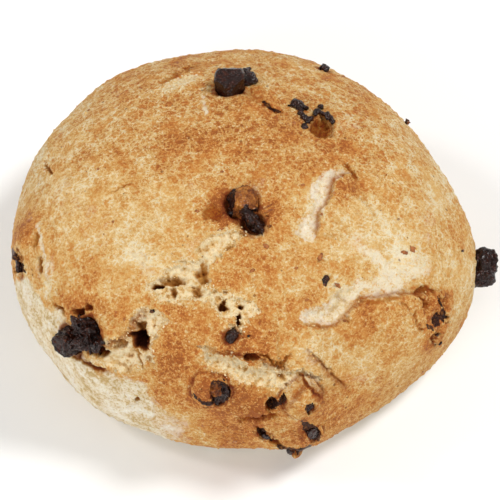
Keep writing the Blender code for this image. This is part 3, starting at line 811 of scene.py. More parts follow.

# %% [markdown]
# ## Baked crust
# The skin of a scone is flour, milk and sugar browned by the oven: matt, a little waxy where the sugar
# caught, and never one colour. Under the broad browning lie blotches of 6 mm, mottles of 2 mm, and pale
# grain of half a millimetre, about the finest that shows: flour, and painted glints for the highlights on it.
# Where the skin stretched it has a net of pale wrinkles: Voronoi edges bent by noise make crooked lines that
# meet, and a cloud lets them fade in and out.

# %% The browned crust
crust, tree, shader = new_material("baked_wheat_crust")
stored = {label: add(tree, STORED, {"attribute_name": label}, out="Fac") for label in (
    "bake_and_shade", "wrinkled", "pale_side", "flour", "tear_edge", "crumbly", "crumb_height", "hollow_shade", "fold_shade",
    "date_near", "bared")}
blotch = clouds(tree, 6.5, 5.0, 0.62)
mottle = clouds(tree, 2.0, 4.0, 0.6, 0.6, 0.3)
fine = clouds(tree, 0.50, 2.0, 0.80, 0.0, 0.7)

fine_wrinkles = add(tree, MATH, PRODUCT, {0: net(tree, 1.9, 0.24, 2.0), 1: 0.8})
wrinkle_net = add(tree, MATH, LARGER, {0: net(tree, 3.6, 0.34, 1.0), 1: fine_wrinkles})
stretched_here = add(tree, MATH, SUM, {0: clouds(tree, 5.0, 4.0, 0.6, 0.0, 4.0), 1: 0.20})
stretched_here = add(tree, MATH, CLAMPED_PRODUCT, {0: stretched_here, 1: 5.0})
stretched_here = add(tree, MATH, PRODUCT, {0: stretched_here, 1: stored["wrinkled"]})
wrinkle_net = add(tree, MATH, PRODUCT, {0: wrinkle_net, 1: stretched_here})

# Pale specks: flour, and painted glints that stand in for the highlights on the finest grain.
flour_grain_and_glints = add(tree, MATH, DIFFERENCE, {0: fine, 1: 0.02})
flour_grain_and_glints = add(tree, MATH, CLAMPED_PRODUCT, {0: flour_grain_and_glints, 1: 6.0})
flour_grain_and_glints = add(tree, MATH, PRODUCT, {0: flour_grain_and_glints, 1: stored["bake_and_shade"]})

tone = weighted(tree, (stored["bake_and_shade"], 1.08), (blotch, 0.95), (mottle, 0.58), (fine, -0.80),
                (flour_grain_and_glints, -0.54), (wrinkle_net, -0.56))
CRUST_COLOURS = ((0.0, "#f8ebcb"), (0.2, "#f0d49d"), (0.4, "#e3b874"), (0.55, "#daa35a"),
                 (0.7, "#d08b42"), (0.85, "#c07232"), (1.0, "#a35a26"))
crust_colour = add(tree, RAMP, {"stops": CRUST_COLOURS}, {0: add(tree, MATH, SUM, {0: tone, 1: 0.13})})
pores = add(tree, MATH, LARGER, {0: dots(tree, 2.6, 0.30, 0.10), 1: dots(tree, 1.3, 0.16, 0.12, 3.0)})
pore_share = add(tree, MATH, PRODUCT, {0: pores, 1: 0.65})
crust_colour = add(tree, MIX, STAIN_AND_SHADE, {SHARE: pore_share, BELOW: crust_colour,
                                      ABOVE: hex_colour("#8a5330")}, MIXED)
print("crust:", len(CRUST_COLOURS), "shades from pale to brown,", len(tree.nodes), "nodes so far")

# %% [markdown]
# The sheltered side keeps the colour of raw flour and milk. Loose flour and skin that stretched late are
# nearly white, in patches with torn edges: the patch from the mesh times a noise, cut by a ramp, frays it.

# %% Pale sides and flour
side_tone = add(tree, MATH, SUM, {0: weighted(tree, (mottle, 1.6), (fine, 2.1), (blotch, 1.7)), 1: 0.5})
side_colour = add(tree, RAMP, {"stops": ((0.08, "#c9a76c"), (0.34, "#e3cda2"), (0.55, "#f1e4c8"),
                                         (0.85, "#fbf4e4"))}, {0: side_tone})
side_edge = weighted(tree, (stored["pale_side"], 1.0), (blotch, 1.1), (mottle, 0.6))
side_share = add(tree, RAMP, {"stops": ((0.22, 0.0), (0.70, 1.0))}, {0: side_edge})
surface = add(tree, MIX, COVER, {SHARE: side_share, BELOW: crust_colour, ABOVE: side_colour}, MIXED)

patchy = add(tree, MATH, SUM, {0: weighted(tree, (blotch, 2.4), (mottle, 3.2), (fine, 2.0)), 1: 1.0})
flour_edge = add(tree, MATH, PRODUCT, {0: stored["flour"], 1: patchy})
flour_share = add(tree, RAMP, {"stops": ((0.32, 0.0), (1.0, 0.90))}, {0: flour_edge})
flour_colour = add(tree, RAMP, {"stops": ((0.3, "#f0d9ab"), (0.6, "#fcf2da"))},
                   {0: add(tree, MATH, SUM, {0: fine, 1: 0.5})})
surface = add(tree, MIX, COVER, {SHARE: flour_share, BELOW: surface, ABOVE: flour_colour}, MIXED)
print("with pale sides and flour:", len(tree.nodes), "nodes")

# %% [markdown]
# Crumb is the inside of the dough, steamed and not baked, so it stays cream; its low places get painted
# shade in tan and its peaks are painted lighter. A rip has a sharp, ragged edge, and a slow stretch fades
# into the crust. Pits, creases and the deep hole get painted shade that goes from tan to a deep brown.

# %% Crumb and hollows
# Painted shade in the low crumbs and painted light on their peaks, from the stored crumb height, mixed with
# random tone.
crumb_shade_and_tone = weighted(tree, (stored["crumb_height"], 0.9), (fine, 1.0), (mottle, 0.5))
crumb_colour = add(tree, RAMP, {"stops": ((0.10, "#a16a30"), (0.30, "#cd9a55"), (0.48, "#e7c183"),
                                          (0.68, "#f7e3b8"))}, {0: crumb_shade_and_tone})
smooth_dough = add(tree, RAMP, {"stops": ((0.2, "#e6cc9a"), (0.45, "#f8eccf"), (0.7, "#fffaee"))},
                   {0: side_tone})
crumb_colour = add(tree, MIX, COVER, {SHARE: stored["crumbly"], BELOW: smooth_dough,
                                      ABOVE: crumb_colour}, MIXED)
tear_here = weighted(tree, (stored["tear_edge"], 1.0), (clouds(tree, 0.9, 4.0, 0.7, 0.0, 6.0), 1.8),
                     (mottle, 0.8))
sharp_edge = add(tree, RAMP, {"stops": ((0.0, 0.0), (0.14, 1.0))}, {0: tear_here})
soft_edge = add(tree, RAMP, {"stops": ((0.0, 0.0), (0.9, 1.0))},
                {0: weighted(tree, (tear_here, 1.0), (mottle, 2.5))})
crumb_share = add(tree, MIX, COVER, {SHARE: stored["crumbly"], BELOW: soft_edge, ABOVE: sharp_edge}, MIXED)
surface = add(tree, MIX, COVER, {SHARE: crumb_share, BELOW: surface, ABOVE: crumb_colour}, MIXED)

# Painted shade for pits, creases and the deep hole, from tan to a deep brown, multiplied over the colour.
hollow_shade_colour = add(tree, RAMP, {"stops": ((0.0, "#ffffff"), (0.30, "#c99f63"), (0.60, "#9a602c"),
                                           (1.0, "#52240e"))},
                    {0: weighted(tree, (stored["hollow_shade"], 1.0), (fine, 0.5))})
surface = add(tree, MIX, STAIN_AND_SHADE, {SHARE: 1.0, BELOW: surface, ABOVE: hollow_shade_colour}, MIXED)
fold_share = add(tree, MATH, PRODUCT, {0: stored["fold_shade"], 1: 0.75})
surface = add(tree, MIX, STAIN_AND_SHADE, {SHARE: fold_share, BELOW: surface, ABOVE: hex_colour("#b5763c")}, MIXED)
print("with crumb and hollows:", len(tree.nodes), "nodes")

# %% [markdown]
# The dough within about a millimetre of each date is painted browner. Where the film of dough over a date
# broke, its dark skin shows, and shines.

# %% A browner rim by each date, and bared fruit
date_rim_edge = add(tree, MATH, SUM, {0: weighted(tree, (stored["date_near"], -1.0), (mottle, 2.0)), 1: 1.0})
date_rim_share = add(tree, RAMP, {"stops": ((0.05, 0.0), (0.9, 0.85))}, {0: date_rim_edge})
surface = add(tree, MIX, STAIN_AND_SHADE, {SHARE: date_rim_share, BELOW: surface, ABOVE: hex_colour("#a4622f")}, MIXED)

fruit = add(tree, RAMP, {"stops": ((0.45, 0.0), (0.65, 1.0))},
            {0: weighted(tree, (stored["bared"], 1.0), (fine, 1.3), (mottle, 0.9))})
fruit_colour = add(tree, RAMP, {"stops": ((0.25, "#210c06"), (0.55, "#452213"), (0.85, "#94602f"))},
                   {0: weighted(tree, (fine, 1.6), (mottle, 1.0), (stored["bared"], 0.5))})
surface = add(tree, MIX, COVER, {SHARE: fruit, BELOW: surface, ABOVE: fruit_colour}, MIXED)
tree.links.new(surface, shader.inputs["Base Color"])
print("with stains and fruit:", len(tree.nodes), "nodes")

# %% [markdown]
# Starch and sugar have an index near 1.45, but the crust is full of air, so it shines less than solid
# starch would: the specular level is under half the usual. Browned sugar lowers the roughness from 0.80
# to 0.55. Bread lets a little light in, about a millimetre, and red travels furthest.

# %% Relief and shine of the crust
GRAIN_HEIGHT = 0.45  # millimetres
height = weighted(tree, (clouds(tree, 0.9, 5.0, 0.75, 0.0, 8.0), 1.5), (wrinkle_net, 0.30), (pores, -0.5))
bumped = add(tree, "ShaderNodeBump", links={"Strength": 1.0, "Distance": GRAIN_HEIGHT * MM, "Height": height})
tree.links.new(bumped, shader.inputs["Normal"])
crust_rough = add(tree, RAMP, {"stops": ((0.3, 0.80), (0.9, 0.55))}, {0: tone})
matt = add(tree, MIX, COVER, {SHARE: fruit, BELOW: crust_rough, ABOVE: (0.35, 0.35, 0.35, 1.0)}, MIXED)
tree.links.new(matt, shader.inputs["Roughness"])
shader.inputs["IOR"].default_value = 1.45
shader.inputs["Specular IOR Level"].default_value = 0.22
shader.inputs["Subsurface Weight"].default_value = 0.06
shader.inputs["Subsurface Radius"].default_value = (1.0, 0.5, 0.25)
shader.inputs["Subsurface Scale"].default_value = 1.0 * MM
print("crust material:", len(tree.nodes), "nodes")

# %% [markdown]
# Calm skin needs fewer triangles than the ball gave it. Collapsing edges where the skin is flattest keeps
# the tears as they are and brings the mesh under 200,000 triangles, so it exports whole.

# %% The dough, thinned out
MOST_TRIANGLES = 195000
dough_mesh.materials.append(crust)
dough_skin = bpy.data.objects.new("dough_skin", dough_mesh)
bpy.context.scene.collection.objects.link(dough_skin)
thin_out = dough_skin.modifiers.new("thin_out", "DECIMATE")
thin_out.ratio = min(1.0, MOST_TRIANGLES / len(dough_mesh.polygons))
bpy.context.view_layer.update()
thinned = dough_skin.evaluated_get(bpy.context.evaluated_depsgraph_get())
dough_skin.data = bpy.data.meshes.new_from_object(thinned)
dough_skin.modifiers.clear()
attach(dough_skin, "root")
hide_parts("dough")
print("dough, thinned out:", len(dough_skin.data.polygons), "triangles,", round(time.time() - started), "s")

# %% [markdown]
# ## Date flesh
# A chopped date is dark, sticky flesh behind a papery skin. Where the knife cut, it is rough and shows
# brown; where the skin is whole, it is nearly black and shines. In the oven the sugar boils out and sets
# as a thin glaze, which is the coat here: glossy, and only a third of full strength because it is patchy.
# Dough that still clings to a date bakes to a matt brown crust of its own. Sugar's index is about 1.48.

# %% The date material
date_flesh, tree, shader = new_material("caramelised_date_flesh")
stored = {label: add(tree, STORED, {"attribute_name": label}, out="Fac")
          for label in ("cut", "coated", "coat_tone")}
flesh_grain = weighted(tree, (clouds(tree, 1.4, 5.0, 0.7, 0.5), 1.2),
                       (clouds(tree, 0.35, 2.0, 0.6, 0.0, 7.0), 0.6))
cut_share = weighted(tree, (stored["cut"], 0.75), (1.0, 0.25))
flesh_tone = add(tree, MATH, PRODUCT, {0: flesh_grain, 1: cut_share})
FLESH_COLOURS = ((0.25, "#150604"), (0.44, "#261009"), (0.58, "#492010"), (0.74, "#7e441f"),
                 (0.90, "#a5662f"))
flesh_colour = add(tree, RAMP, {"stops": FLESH_COLOURS}, {0: add(tree, MATH, SUM, {0: flesh_tone, 1: 0.44})})

coat_tone = weighted(tree, (stored["coat_tone"], 1.0), (clouds(tree, 1.6, 5.0, 0.7, 0.0, 3.0), 2.0),
                     (clouds(tree, 0.4, 2.0, 0.6, 0.0, 4.0), 0.6))
COAT_COLOURS = ((0.0, "#3f1a0a"), (0.3, "#8a4a1a"), (0.6, "#b87530"), (0.8, "#cc9148"), (1.0, "#dcb06a"))
coat_colour = add(tree, RAMP, {"stops": COAT_COLOURS}, {0: coat_tone})
coat_edge = weighted(tree, (stored["coated"], 1.0), (clouds(tree, 1.8, 5.0, 0.7, 0.3, 2.0), 1.9))
coat_share = add(tree, RAMP, {"stops": ((0.42, 0.0), (0.62, 1.0))}, {0: coat_edge})
date_colour = add(tree, MIX, COVER, {SHARE: coat_share, BELOW: flesh_colour, ABOVE: coat_colour}, MIXED)
tree.links.new(date_colour, shader.inputs["Base Color"])

skin_rough = add(tree, RAMP, {"stops": ((0.1, 0.20), (0.9, 0.16))},
                 {0: weighted(tree, (stored["cut"], 1.0), (flesh_tone, 0.8))})
date_rough = add(tree, MIX, COVER, {SHARE: coat_share, BELOW: skin_rough, ABOVE: (0.7, 0.7, 0.7, 1.0)}, MIXED)
tree.links.new(date_rough, shader.inputs["Roughness"])
DATE_RELIEF = 0.9  # millimetres
date_height = weighted(tree, (clouds(tree, 1.0, 2.0, 0.5, 0.2, 5.0), 1.4),
                       (clouds(tree, 0.5, 1.0, 0.5, 0.0, 6.0), 1.4))
date_height = add(tree, MATH, PRODUCT, {0: date_height, 1: cut_share})
bumped = add(tree, "ShaderNodeBump", links={
    "Strength": 1.0, "Distance": DATE_RELIEF * MM, "Height": date_height})
tree.links.new(bumped, shader.inputs["Normal"])
shader.inputs["IOR"].default_value = 1.48
shader.inputs["Specular IOR Level"].default_value = 0.22
shader.inputs["Coat Weight"].default_value = 0.30
shader.inputs["Coat Roughness"].default_value = 0.07
print("date material:", len(tree.nodes), "nodes")

# %% [markdown]
# A knife leaves flat faces, so each date is a rounded lump with a few flat cuts. `lumps` are its slow bulges
# and `jagged` its torn edges, in millimetres; `creases` are the wrinkles of dried skin, and `stretch` makes
# it longer one way. A cut is ((across, up, toward the eye), how far out as a share of the half size, 1 for
# cut flesh and 0 for whole skin). Coats are dough that still clings, and clusters are scraps torn so small
# that overlapping lumps on the skin give their lacy outline better than one piece would.

# %% How each date was cut
DATE_LOOKS = {
    "date_back": {"lumps": 0.16, "jagged": 0.16, "creases": 0.06, "stretch": (97, 1.17, 1.04), "cuts": (
        ((-0.05, 0.50, 0.86), 0.66, 0.35), ((-0.62, -0.60, 0.50), 0.72, 0.0),
        ((0.66, -0.58, 0.48), 0.70, 0.0), ((0.0, 1.0, 0.1), 0.85, 0.0))},
    "date_crown": {"lumps": 0.35, "jagged": 0.45, "cuts": (
        ((-0.95, 0.10, 0.30), 0.50, 1.0), ((-0.30, 0.85, 0.40), 0.60, 0.6),
        ((-0.25, -0.75, 0.60), 0.55, 0.6), ((0.75, 0.40, 0.50), 0.52, 0.4), ((0.0, 0.1, 1.0), 0.70, 0.6))},
    "date_crown_low": {"lumps": 0.30, "jagged": 0.60, "stretch": (-52, 1.42, 0.82), "cuts": (
        ((0.75, 0.50, 0.45), 0.38, 0.3), ((-0.65, -0.60, 0.45), 0.42, 0.9), ((0.1, 0.0, 1.0), 0.60, 0.5))},
    "date_side": {"lumps": 0.25, "jagged": 0.45, "cuts": (
        ((-0.60, -0.50, 0.62), 0.62, 0.6), ((-0.55, 0.75, 0.40), 0.60, 0.7), ((0.3, 0.5, 0.80), 0.66, 0.9),
        ((0.40, -0.85, 0.35), 0.62, 0.9))},
    "date_side_torn": {"lumps": 0.5, "jagged": 2.1, "cuts": (((0.1, 0.2, 0.97), 0.55, 1.0),)},
    "date_block": {"lumps": 0.15, "cuts": (((0.0, -0.1, 1.0), 0.62, 0.5), ((-0.75, -0.60, 0.3), 0.66, 1.0))},
    "date_foot": {"lumps": 0.25, "cuts": (((0.60, -0.55, 0.58), 0.55, 0.0),)},
    "date_right": {"lumps": 0.50, "jagged": 0.45, "cuts": (((0.3, 0.1, 0.95), 0.7, 0.4),)},
    "date_coated": {"lumps": 0.3, "jagged": 0.9, "cuts": ()},
    "date_flake": {"lumps": 0.3, "jagged": 0.6, "cuts": ()},
    "date_flake_bit": {"lumps": 0.3, "jagged": 0.6, "cuts": ()},
    "date_back_crumb": {"lumps": 0.3, "jagged": 0.5, "cuts": ()},
    "date_tear": {"lumps": 0.35, "jagged": 0.5, "cuts": ()},
    "date_rim_flake": {"lumps": 0.35, "jagged": 0.5, "cuts": ()},
}
COATS = {  # outlines of the dough that clings to a date, and how brown each is, 0 dark to 1 pale
    "date_crown": ((((-3.1, 13.4), (-1.4, 13.6), (0.8, 12.8), (1.6, 11.5), (1.9, 9.1), (0.4, 8.2),
                     (-1.0, 8.6), (-1.9, 7.4), (-2.3, 4.6), (-3.5, 6.6), (-3.4, 9.3), (-3.0, 11.3)),
                    0.34),),
    "date_coated": ((((-9.0, -27.5), (-6.2, -27.2), (-5.6, -28.6), (-6.0, -30.2), (-7.2, -30.8),
                      (-9.0, -30.0)), 0.30),),
}
CLUSTERS = {  # torn scraps, as overlapping lumps: place and radius of each
    "date_flake": (((8.0, 29.6), 0.7), ((8.9, 30.0), 0.9), ((9.6, 29.2), 1.0), ((10.4, 29.6), 0.9),
                   ((11.3, 28.9), 0.8), ((10.4, 28.0), 0.8), ((11.1, 27.2), 0.9), ((11.7, 26.4), 0.9),
                   ((11.2, 25.5), 0.7), ((12.3, 27.0), 0.7)),
    "date_flake_bit": (((13.2, 27.8), 0.6), ((13.8, 28.3), 0.8), ((14.4, 29.1), 0.6), ((15.0, 28.1), 0.7),
                       ((15.8, 27.9), 0.9), ((16.5, 27.2), 0.8), ((17.2, 26.2), 0.6)),
    "date_back_crumb": (((-1.0, 36.0), 1.0), ((-0.3, 35.4), 1.2), ((0.3, 34.4), 1.1), ((-0.7, 34.4), 1.0),
                        ((-0.3, 36.8), 0.7), ((0.7, 35.3), 1.0)),
}
print(sum(len(looks["cuts"]) for looks in DATE_LOOKS.values()), "cuts on", len(DATE_LOOKS), "dates")

# %% [markdown]
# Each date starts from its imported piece, so it stays where the model has it. A voxel remesh gives it even,
# fine triangles to shape. Points beyond a cut's plane are pulled back to it, a little short of flat.

# %% Tools that shape a date
VOXEL = 0.24  # millimetres: fine enough for creases
CUT_FLATNESS = 0.92


def lumps_on_skin(places_and_radii):
    """Balls half sunk in the skin, as one mesh in metres."""
    balls = bmesh.new()
    for place, radius in places_and_radii:
        point, facing = on_skin(place)
        made = bmesh.ops.create_icosphere(balls, subdivisions=2, radius=radius * MM)
        bmesh.ops.translate(balls, verts=made["verts"], vec=Vector((point + 0.45 * radius * facing) * MM))
    mesh = bpy.data.meshes.new("lumps")
    balls.to_mesh(mesh)
    balls.free()
    return mesh


def even_copy(name):
    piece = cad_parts[name].copy()
    piece.data = lumps_on_skin(CLUSTERS[name]) if name in CLUSTERS else piece.data.copy()
    piece.name = name + "_flesh"
    bpy.context.scene.collection.objects.link(piece)
    remesh = piece.modifiers.new("even_mesh", "REMESH")
    remesh.mode = "VOXEL"
    remesh.voxel_size = VOXEL * MM
    soften = piece.modifiers.new("soften", "SMOOTH")
    soften.factor = 0.5
    soften.iterations = 4
    bpy.context.view_layer.update()
    settled = bpy.data.meshes.new_from_object(piece.evaluated_get(bpy.context.evaluated_depsgraph_get()))
    piece.modifiers.clear()
    piece.data = settled
    return piece


def vectors_of(mesh, label):
    flat = np.empty(3 * len(mesh.vertices))
    mesh.vertices.foreach_get(label, flat)
    return flat.reshape(-1, 3)


def stretched_points(points, turn, along, across):
    """Points made longer along a direction of the drawing and narrower across it."""
    middle = (points.min(0) + points.max(0)) / 2
    way = math.cos(math.radians(turn)) * ACROSS + math.sin(math.radians(turn)) * DRAWING_UP
    side = np.cross(TO_EYE, way)
    away = points - middle
    return points + np.outer(away @ way, way) * (along - 1) + np.outer(away @ side, side) * (across - 1)


def sliced(points, cuts):
    """Points pulled back to each cut's plane, and how much of each point lies on a rough cut."""
    middle = (points.min(0) + points.max(0)) / 2
    on_cut = np.full(len(points), 0.35)
    for (across, up, toward), share, roughness in cuts:
        facing = across * ACROSS + up * DRAWING_UP + toward * TO_EYE
        facing = facing / np.linalg.norm(facing)
        out = (points - middle) @ facing
        over = np.maximum(out - share * out.max(), 0.0)
        points = points - facing * (over * CUT_FLATNESS)[:, None]
        on_cut = np.where(over > 0.05, roughness, on_cut)
    return points, on_cut


print("a voxel for each date, mm:", VOXEL)

# %% [markdown]
# Now the dates are made one by one. Cut flesh crumbles and whole skin creases, and dough that coats a date
# hides both. Three values go on each mesh for the material: how cut, how coated, and how brown the coat is.

# %% The dates
date_triangles = 0
for order, name in enumerate(sorted(date_trees)):
    looks = DATE_LOOKS.get(name, {"lumps": 0.35, "cuts": ()})
    piece = even_copy(name)
    points = vectors_of(piece.data, "co") / MM
    if "stretch" in looks:
        points = stretched_points(points, *looks["stretch"])
    points, on_cut = sliced(points, looks["cuts"])
    piece.data.vertices.foreach_set("co", (points * MM).ravel())
    piece.data.update()
    normals = vectors_of(piece.data, "normal")
    lumps = looks["lumps"] * (rough(points, 2.6, 2, order * 3.7) - 0.2)
    creased = -np.abs(rough(points, 1.3, 2, order * 1.9)) * looks.get("creases", 0.30)
    lumps += looks.get("jagged", 0.15) * rough(points, 1.7, 3, order * 5.1)
    lumps -= 0.35 if name in BARE else 0.0
    crumbled = 0.30 * rough(points, 0.8, 2, order * 2.3)
    coated = np.zeros(len(points))
    coat_tone = np.full(len(points), 0.4)
    for outline, tone in COATS.get(name, ()):
        inside = inside_outline(ragged(points, 0.6), outline)
        coated = np.maximum(coated, smooth(inside, -0.35, 0.35))
        coat_tone = np.where(inside > -0.5, tone, coat_tone)
    flesh = creased * (1 - 0.6 * on_cut) + crumbled * on_cut
    points = points + normals * (lumps + flesh * (1 - 0.7 * coated) + 0.10 * coated)[:, None]
    piece.data.vertices.foreach_set("co", (points * MM).ravel())
    store(piece.data, "coated", coated)
    store(piece.data, "coat_tone", coat_tone)
    store(piece.data, "cut", on_cut)
    piece.data.materials.clear()
    piece.data.materials.append(date_flesh)
    piece.data.shade_smooth()
    piece.data.update()
    date_triangles += sum(len(p.vertices) - 2 for p in piece.data.polygons)
    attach(piece, "root")
    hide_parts(name)
print("dates:", date_triangles, "triangles,", round(time.time() - started, 1), "s")

# %% [markdown]
# ## Flecks and crumbs
# Chopping leaves scraps of date, and whole flour leaves brown bran; both end up pressed in the skin. Crumbs
# cling wherever the dough tore, and tiny flakes stand up all over the crust. They are too many for objects
# of their own, so each kind is one joined mesh of small lumpy grains at their true size.

# %% A mesh of grains
chance = random.Random(7)
chooser = np.random.default_rng(7)
ball_points = {}
for detail in (1, 2):
    shape = bmesh.new()
    bmesh.ops.create_icosphere(shape, subdivisions=detail, radius=1.0)
    corners = np.array([vertex.co[:] for vertex in shape.verts])
    ball_points[detail] = (corners, np.array([[v.index for v in face.verts] for face in shape.faces]))
    shape.free()


def grain_mesh(name, grains, detail):
    """One mesh of lumpy grains, each given by its middle, the way it faces, three half sizes and a turn."""
    points, faces = ball_points[detail]
    all_points, all_faces = [], []
    for middle, facing, half, turn in grains:
        side = np.cross(facing, DRAWING_UP)
        side /= max(np.linalg.norm(side), 1e-6)
        up = np.cross(side, -facing)
        c, s = math.cos(math.radians(turn)), math.sin(math.radians(turn))
        axes_of_grain = np.stack((-c * side + s * up, s * side + c * up, facing))
        swelling = np.array([noise.noise(Vector(p * 1.5 + middle)) for p in points])
        lumpy = points * (1 + 0.7 * swelling)[:, None]
        all_faces.append(faces + sum(len(p) for p in all_points))
        all_points.append(middle + (lumpy * half) @ axes_of_grain)
    mesh = bpy.data.meshes.new(name)
    mesh.from_pydata((np.concatenate(all_points) * MM).tolist(), [], np.concatenate(all_faces).tolist())
    mesh.shade_smooth()
    piece = bpy.data.objects.new(name, mesh)
    bpy.context.scene.collection.objects.link(piece)
    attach(piece, "root")
    return piece, len(points)


def pressed_in(scraps, thickness):
    grains = []
    for place, half_length, half_width, turn in scraps:
        point, facing = on_skin(place)
        grains.append((point + 0.02 * facing, facing, np.array((half_length, half_width, thickness)), turn))
    return grains


print("points in a fine and a coarse grain:", len(ball_points[2][0]), len(ball_points[1][0]))

# %% [markdown]
# Scraps of date are the same flesh as the dates, whole skin more than cut, half under the dough's film.
# They stand nearly half a millimetre proud, so they catch light on one side.

# %% Scraps of date
DATE_SCRAPS = (  # place, half length, half width, turn in degrees
    ((15.5, -6.3), 1.2, 0.65, -75), ((-20.2, -12.6), 0.7, 0.45, -35),
    ((-0.2, -17.7), 0.3, 0.25, 0), ((4.1, 4.9), 0.45, 0.3, 0), ((32.4, 26.4), 0.7, 0.6, 30),
    ((43.7, -0.2), 0.35, 0.25, 0), ((38.5, -17.5), 0.4, 0.35, 0), ((39.1, -19.2), 0.5, 0.3, -60),
)
SCRAP_THICKNESS, BRAN_THICKNESS = 0.45, 0.16
date_scraps, _ = grain_mesh("date_scraps", pressed_in(DATE_SCRAPS, SCRAP_THICKNESS), 2)
for label, value in (("coated", 0.42), ("coat_tone", 0.2), ("cut", 0.3)):
    store(date_scraps.data, label, np.full(len(date_scraps.data.vertices), value))
date_scraps.data.materials.append(date_flesh)
print("date scraps:", len(DATE_SCRAPS))

# %% [markdown]
# Bran is the thin brown husk of the grain, toasted in the crust: dull, flat, and two shades of brown.

# %% Bran
BRAN = (
    ((14.4, -1.5), 0.9, 0.6, 80), ((18.3, -7.4), 1.1, 0.45, 20), ((33.6, 0.1), 0.8, 0.7, 0),
    ((-31.3, 16.7), 0.35, 0.25, 60), ((-33.2, 28.8), 0.35, 0.3, 0), ((-22.5, 33.4), 0.3, 0.25, 0),
    ((10.9, 13.4), 0.4, 0.3, 0), ((14.8, 7.4), 0.4, 0.3, 0), ((-28.2, 5.8), 0.3, 0.3, 0),
    ((0.4, -4.3), 0.6, 0.35, -40), ((9.5, -3.7), 0.35, 0.3, 0), ((11.7, -10.3), 0.4, 0.25, -30),
    ((-10.9, 8.0), 0.4, 0.35, 0), ((-5.8, 16.1), 0.35, 0.3, 0), ((3.3, 0.8), 0.6, 0.45, 20),
    ((19.2, 35.7), 0.6, 0.3, 0), ((-25.9, -14.3), 0.35, 0.3, 0), ((-6.0, 4.3), 0.7, 0.25, -20),
    ((4.2, 8.2), 1.6, 0.22, -25), ((3.4, 8.8), 1.0, 0.2, -35), ((31.9, -0.5), 0.7, 0.4, 10),
    ((19.5, -14.6), 0.5, 0.3, 20),
)
bran_coat, tree, shader = new_material("toasted_bran")
bran_tone = add(tree, MATH, SUM, {0: clouds(tree, 0.8, 3.0, 0.6), 1: 0.5})
bran_colour = add(tree, RAMP, {"stops": ((0.3, "#6a3212"), (0.6, "#a8642c"))}, {0: bran_tone})
tree.links.new(bran_colour, shader.inputs["Base Color"])
shader.inputs["Roughness"].default_value = 0.7
bran_bits, _ = grain_mesh("bran_bits", pressed_in(BRAN, BRAN_THICKNESS), 2)
bran_bits.data.materials.append(bran_coat)
print("bran:", len(BRAN), "flecks")

# %% [markdown]
# Crumbs and flakes are 0.2 to 0.7 mm long. Each takes the toast of the skin that it lies on, a little
# lighter or darker: pale in the tears, brown on the crust. They are dry and porous, so quite matt.

# %% Loose crumbs
TORN_CRUMBS, CRUST_FLAKES = 500, 900
in_a_tear = (tear_edge > -0.4) & (tear_edge < 1.5) & (crumbly > 0.5)
ripped = np.nonzero(in_a_tear & (hollow_shade < 0.3) & (veiled == 0))[0]
whole = np.nonzero((skin[:, 2] > 2.0) & (tear_edge < -0.5) & (date_near > 1.0) & (hollow_shade < 0.05))[0]
crumb_spots = np.concatenate((chooser.choice(ripped, TORN_CRUMBS), chooser.choice(whole, CRUST_FLAKES)))
grains = []
for index in crumb_spots:
    size = chance.uniform(0.08, 0.22)
    half = np.array((size * chance.uniform(1.0, 1.6), size, size * chance.uniform(0.5, 0.9)))
    middle = skin[index] + 0.2 * size * outward[index]
    grains.append((middle, outward[index], half, chance.uniform(0, 180)))
loose, each = grain_mesh("loose_crumbs", grains, 1)
skin_toast = np.clip(bake_and_shade[crumb_spots], 0, 1) - 0.6 * pale_side[crumb_spots]
toast = np.where(tear_edge[crumb_spots] > -0.5, 0.05, skin_toast)
toast += chooser.normal(0.0, 0.12, len(toast))
store(loose.data, "toast", np.repeat(np.clip(toast, 0, 1), each))

crumb_coat, tree, shader = new_material("dry_crumbs")
toasted = add(tree, STORED, {"attribute_name": "toast"}, out="Fac")
crumb_shade = weighted(tree, (toasted, 1.0), (clouds(tree, 0.5, 2.0), 0.5))
loose_colour = add(tree, RAMP, {"stops": ((0.0, "#ecdab0"), (0.40, "#e0b870"), (0.75, "#c07636"),
                                          (1.0, "#8f4e22"))}, {0: crumb_shade})
tree.links.new(loose_colour, shader.inputs["Base Color"])
shader.inputs["Roughness"].default_value = 0.8
loose.data.materials.append(crumb_coat)
print("crumbs:", len(loose.data.polygons), "triangles")

# %% [markdown]
# ## The table and the light
# A pale, matt painted board under soft light from the upper right, as on a cloudy day by a window, with
# enough bounce from the front that the foot of the scone never goes dark. Paint like this scatters light
# evenly, so it is nearly white with a roughness of 0.8 and shows no reflection.

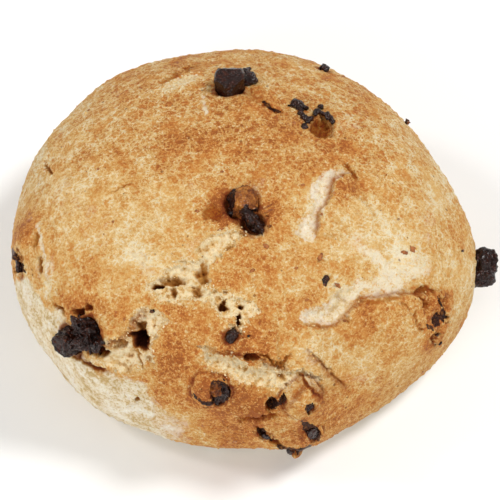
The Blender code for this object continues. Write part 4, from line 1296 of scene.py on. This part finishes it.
# %% Floor and room
FLOOR_SIZE = 6.0  # metres, so that its edge never shows
floor_material, tree, shader = new_material("white_board")
shader.inputs["Base Color"].default_value = hex_colour("#f8f7f5")
shader.inputs["Roughness"].default_value = 0.8
bpy.ops.mesh.primitive_plane_add(size=FLOOR_SIZE)
floor = bpy.context.active_object
floor.name = "floor"
floor.data.materials.append(floor_material)

ROOM_LIGHT = 0.45
world = bpy.data.worlds.new("soft_room")
bpy.context.scene.world = world
world.use_nodes = True
world.node_tree.nodes["Background"].inputs["Color"].default_value = (1.0, 1.0, 1.0, 1.0)
world.node_tree.nodes["Background"].inputs["Strength"].default_value = ROOM_LIGHT
print("floor, m:", FLOOR_SIZE, "and room light:", ROOM_LIGHT)

# %% [markdown]
# Three round lamps stand in for a room: a window high on the right that draws the shadows, a wide weak
# bounce in front on the left, and a second window at the side that lights the pale foot.

# %% Lamps
def soft_box(name, place, size, watts):
    """A round lamp that points at the scone: place and size in metres."""
    lamp = bpy.data.lights.new(name, "AREA")
    lamp.shape = "DISK"
    lamp.size = size
    lamp.energy = watts
    thing = bpy.data.objects.new(name, lamp)
    thing.location = place
    aim = Vector(MIDDLE * MM) - Vector(place)
    thing.rotation_euler = aim.to_track_quat("-Z", "Y").to_euler()
    bpy.context.scene.collection.objects.link(thing)


soft_box("window", (0.50, 0.10, 0.78), 0.26, 5.1)
soft_box("bounce", (-0.40, -0.70, 0.45), 0.5, 3.3)
soft_box("side_window", (-0.55, 0.05, 0.60), 0.16, 1.3)
print("lamps:", len(bpy.data.lights))

# %% [markdown]
# The camera looks along the drawing's own lines of sight, from just over half a metre away.

# %% Camera
camera_data = bpy.data.cameras.new("camera")
camera_data.lens = 180.0
camera_data.sensor_width = 36.0
camera_data.clip_start = 0.01
camera = bpy.data.objects.new("camera", camera_data)
camera.location = Vector(EYE * MM)
camera.rotation_euler = (math.pi / 2 - LOOKS_DOWN, 0.0, 0.0)
bpy.context.scene.collection.objects.link(camera)
bpy.context.scene.camera = camera
bpy.context.scene.view_settings.view_transform = "Standard"
print("camera, mm:", np.round(EYE, 1), "looking down by", round(math.degrees(LOOKS_DOWN)), "degrees")
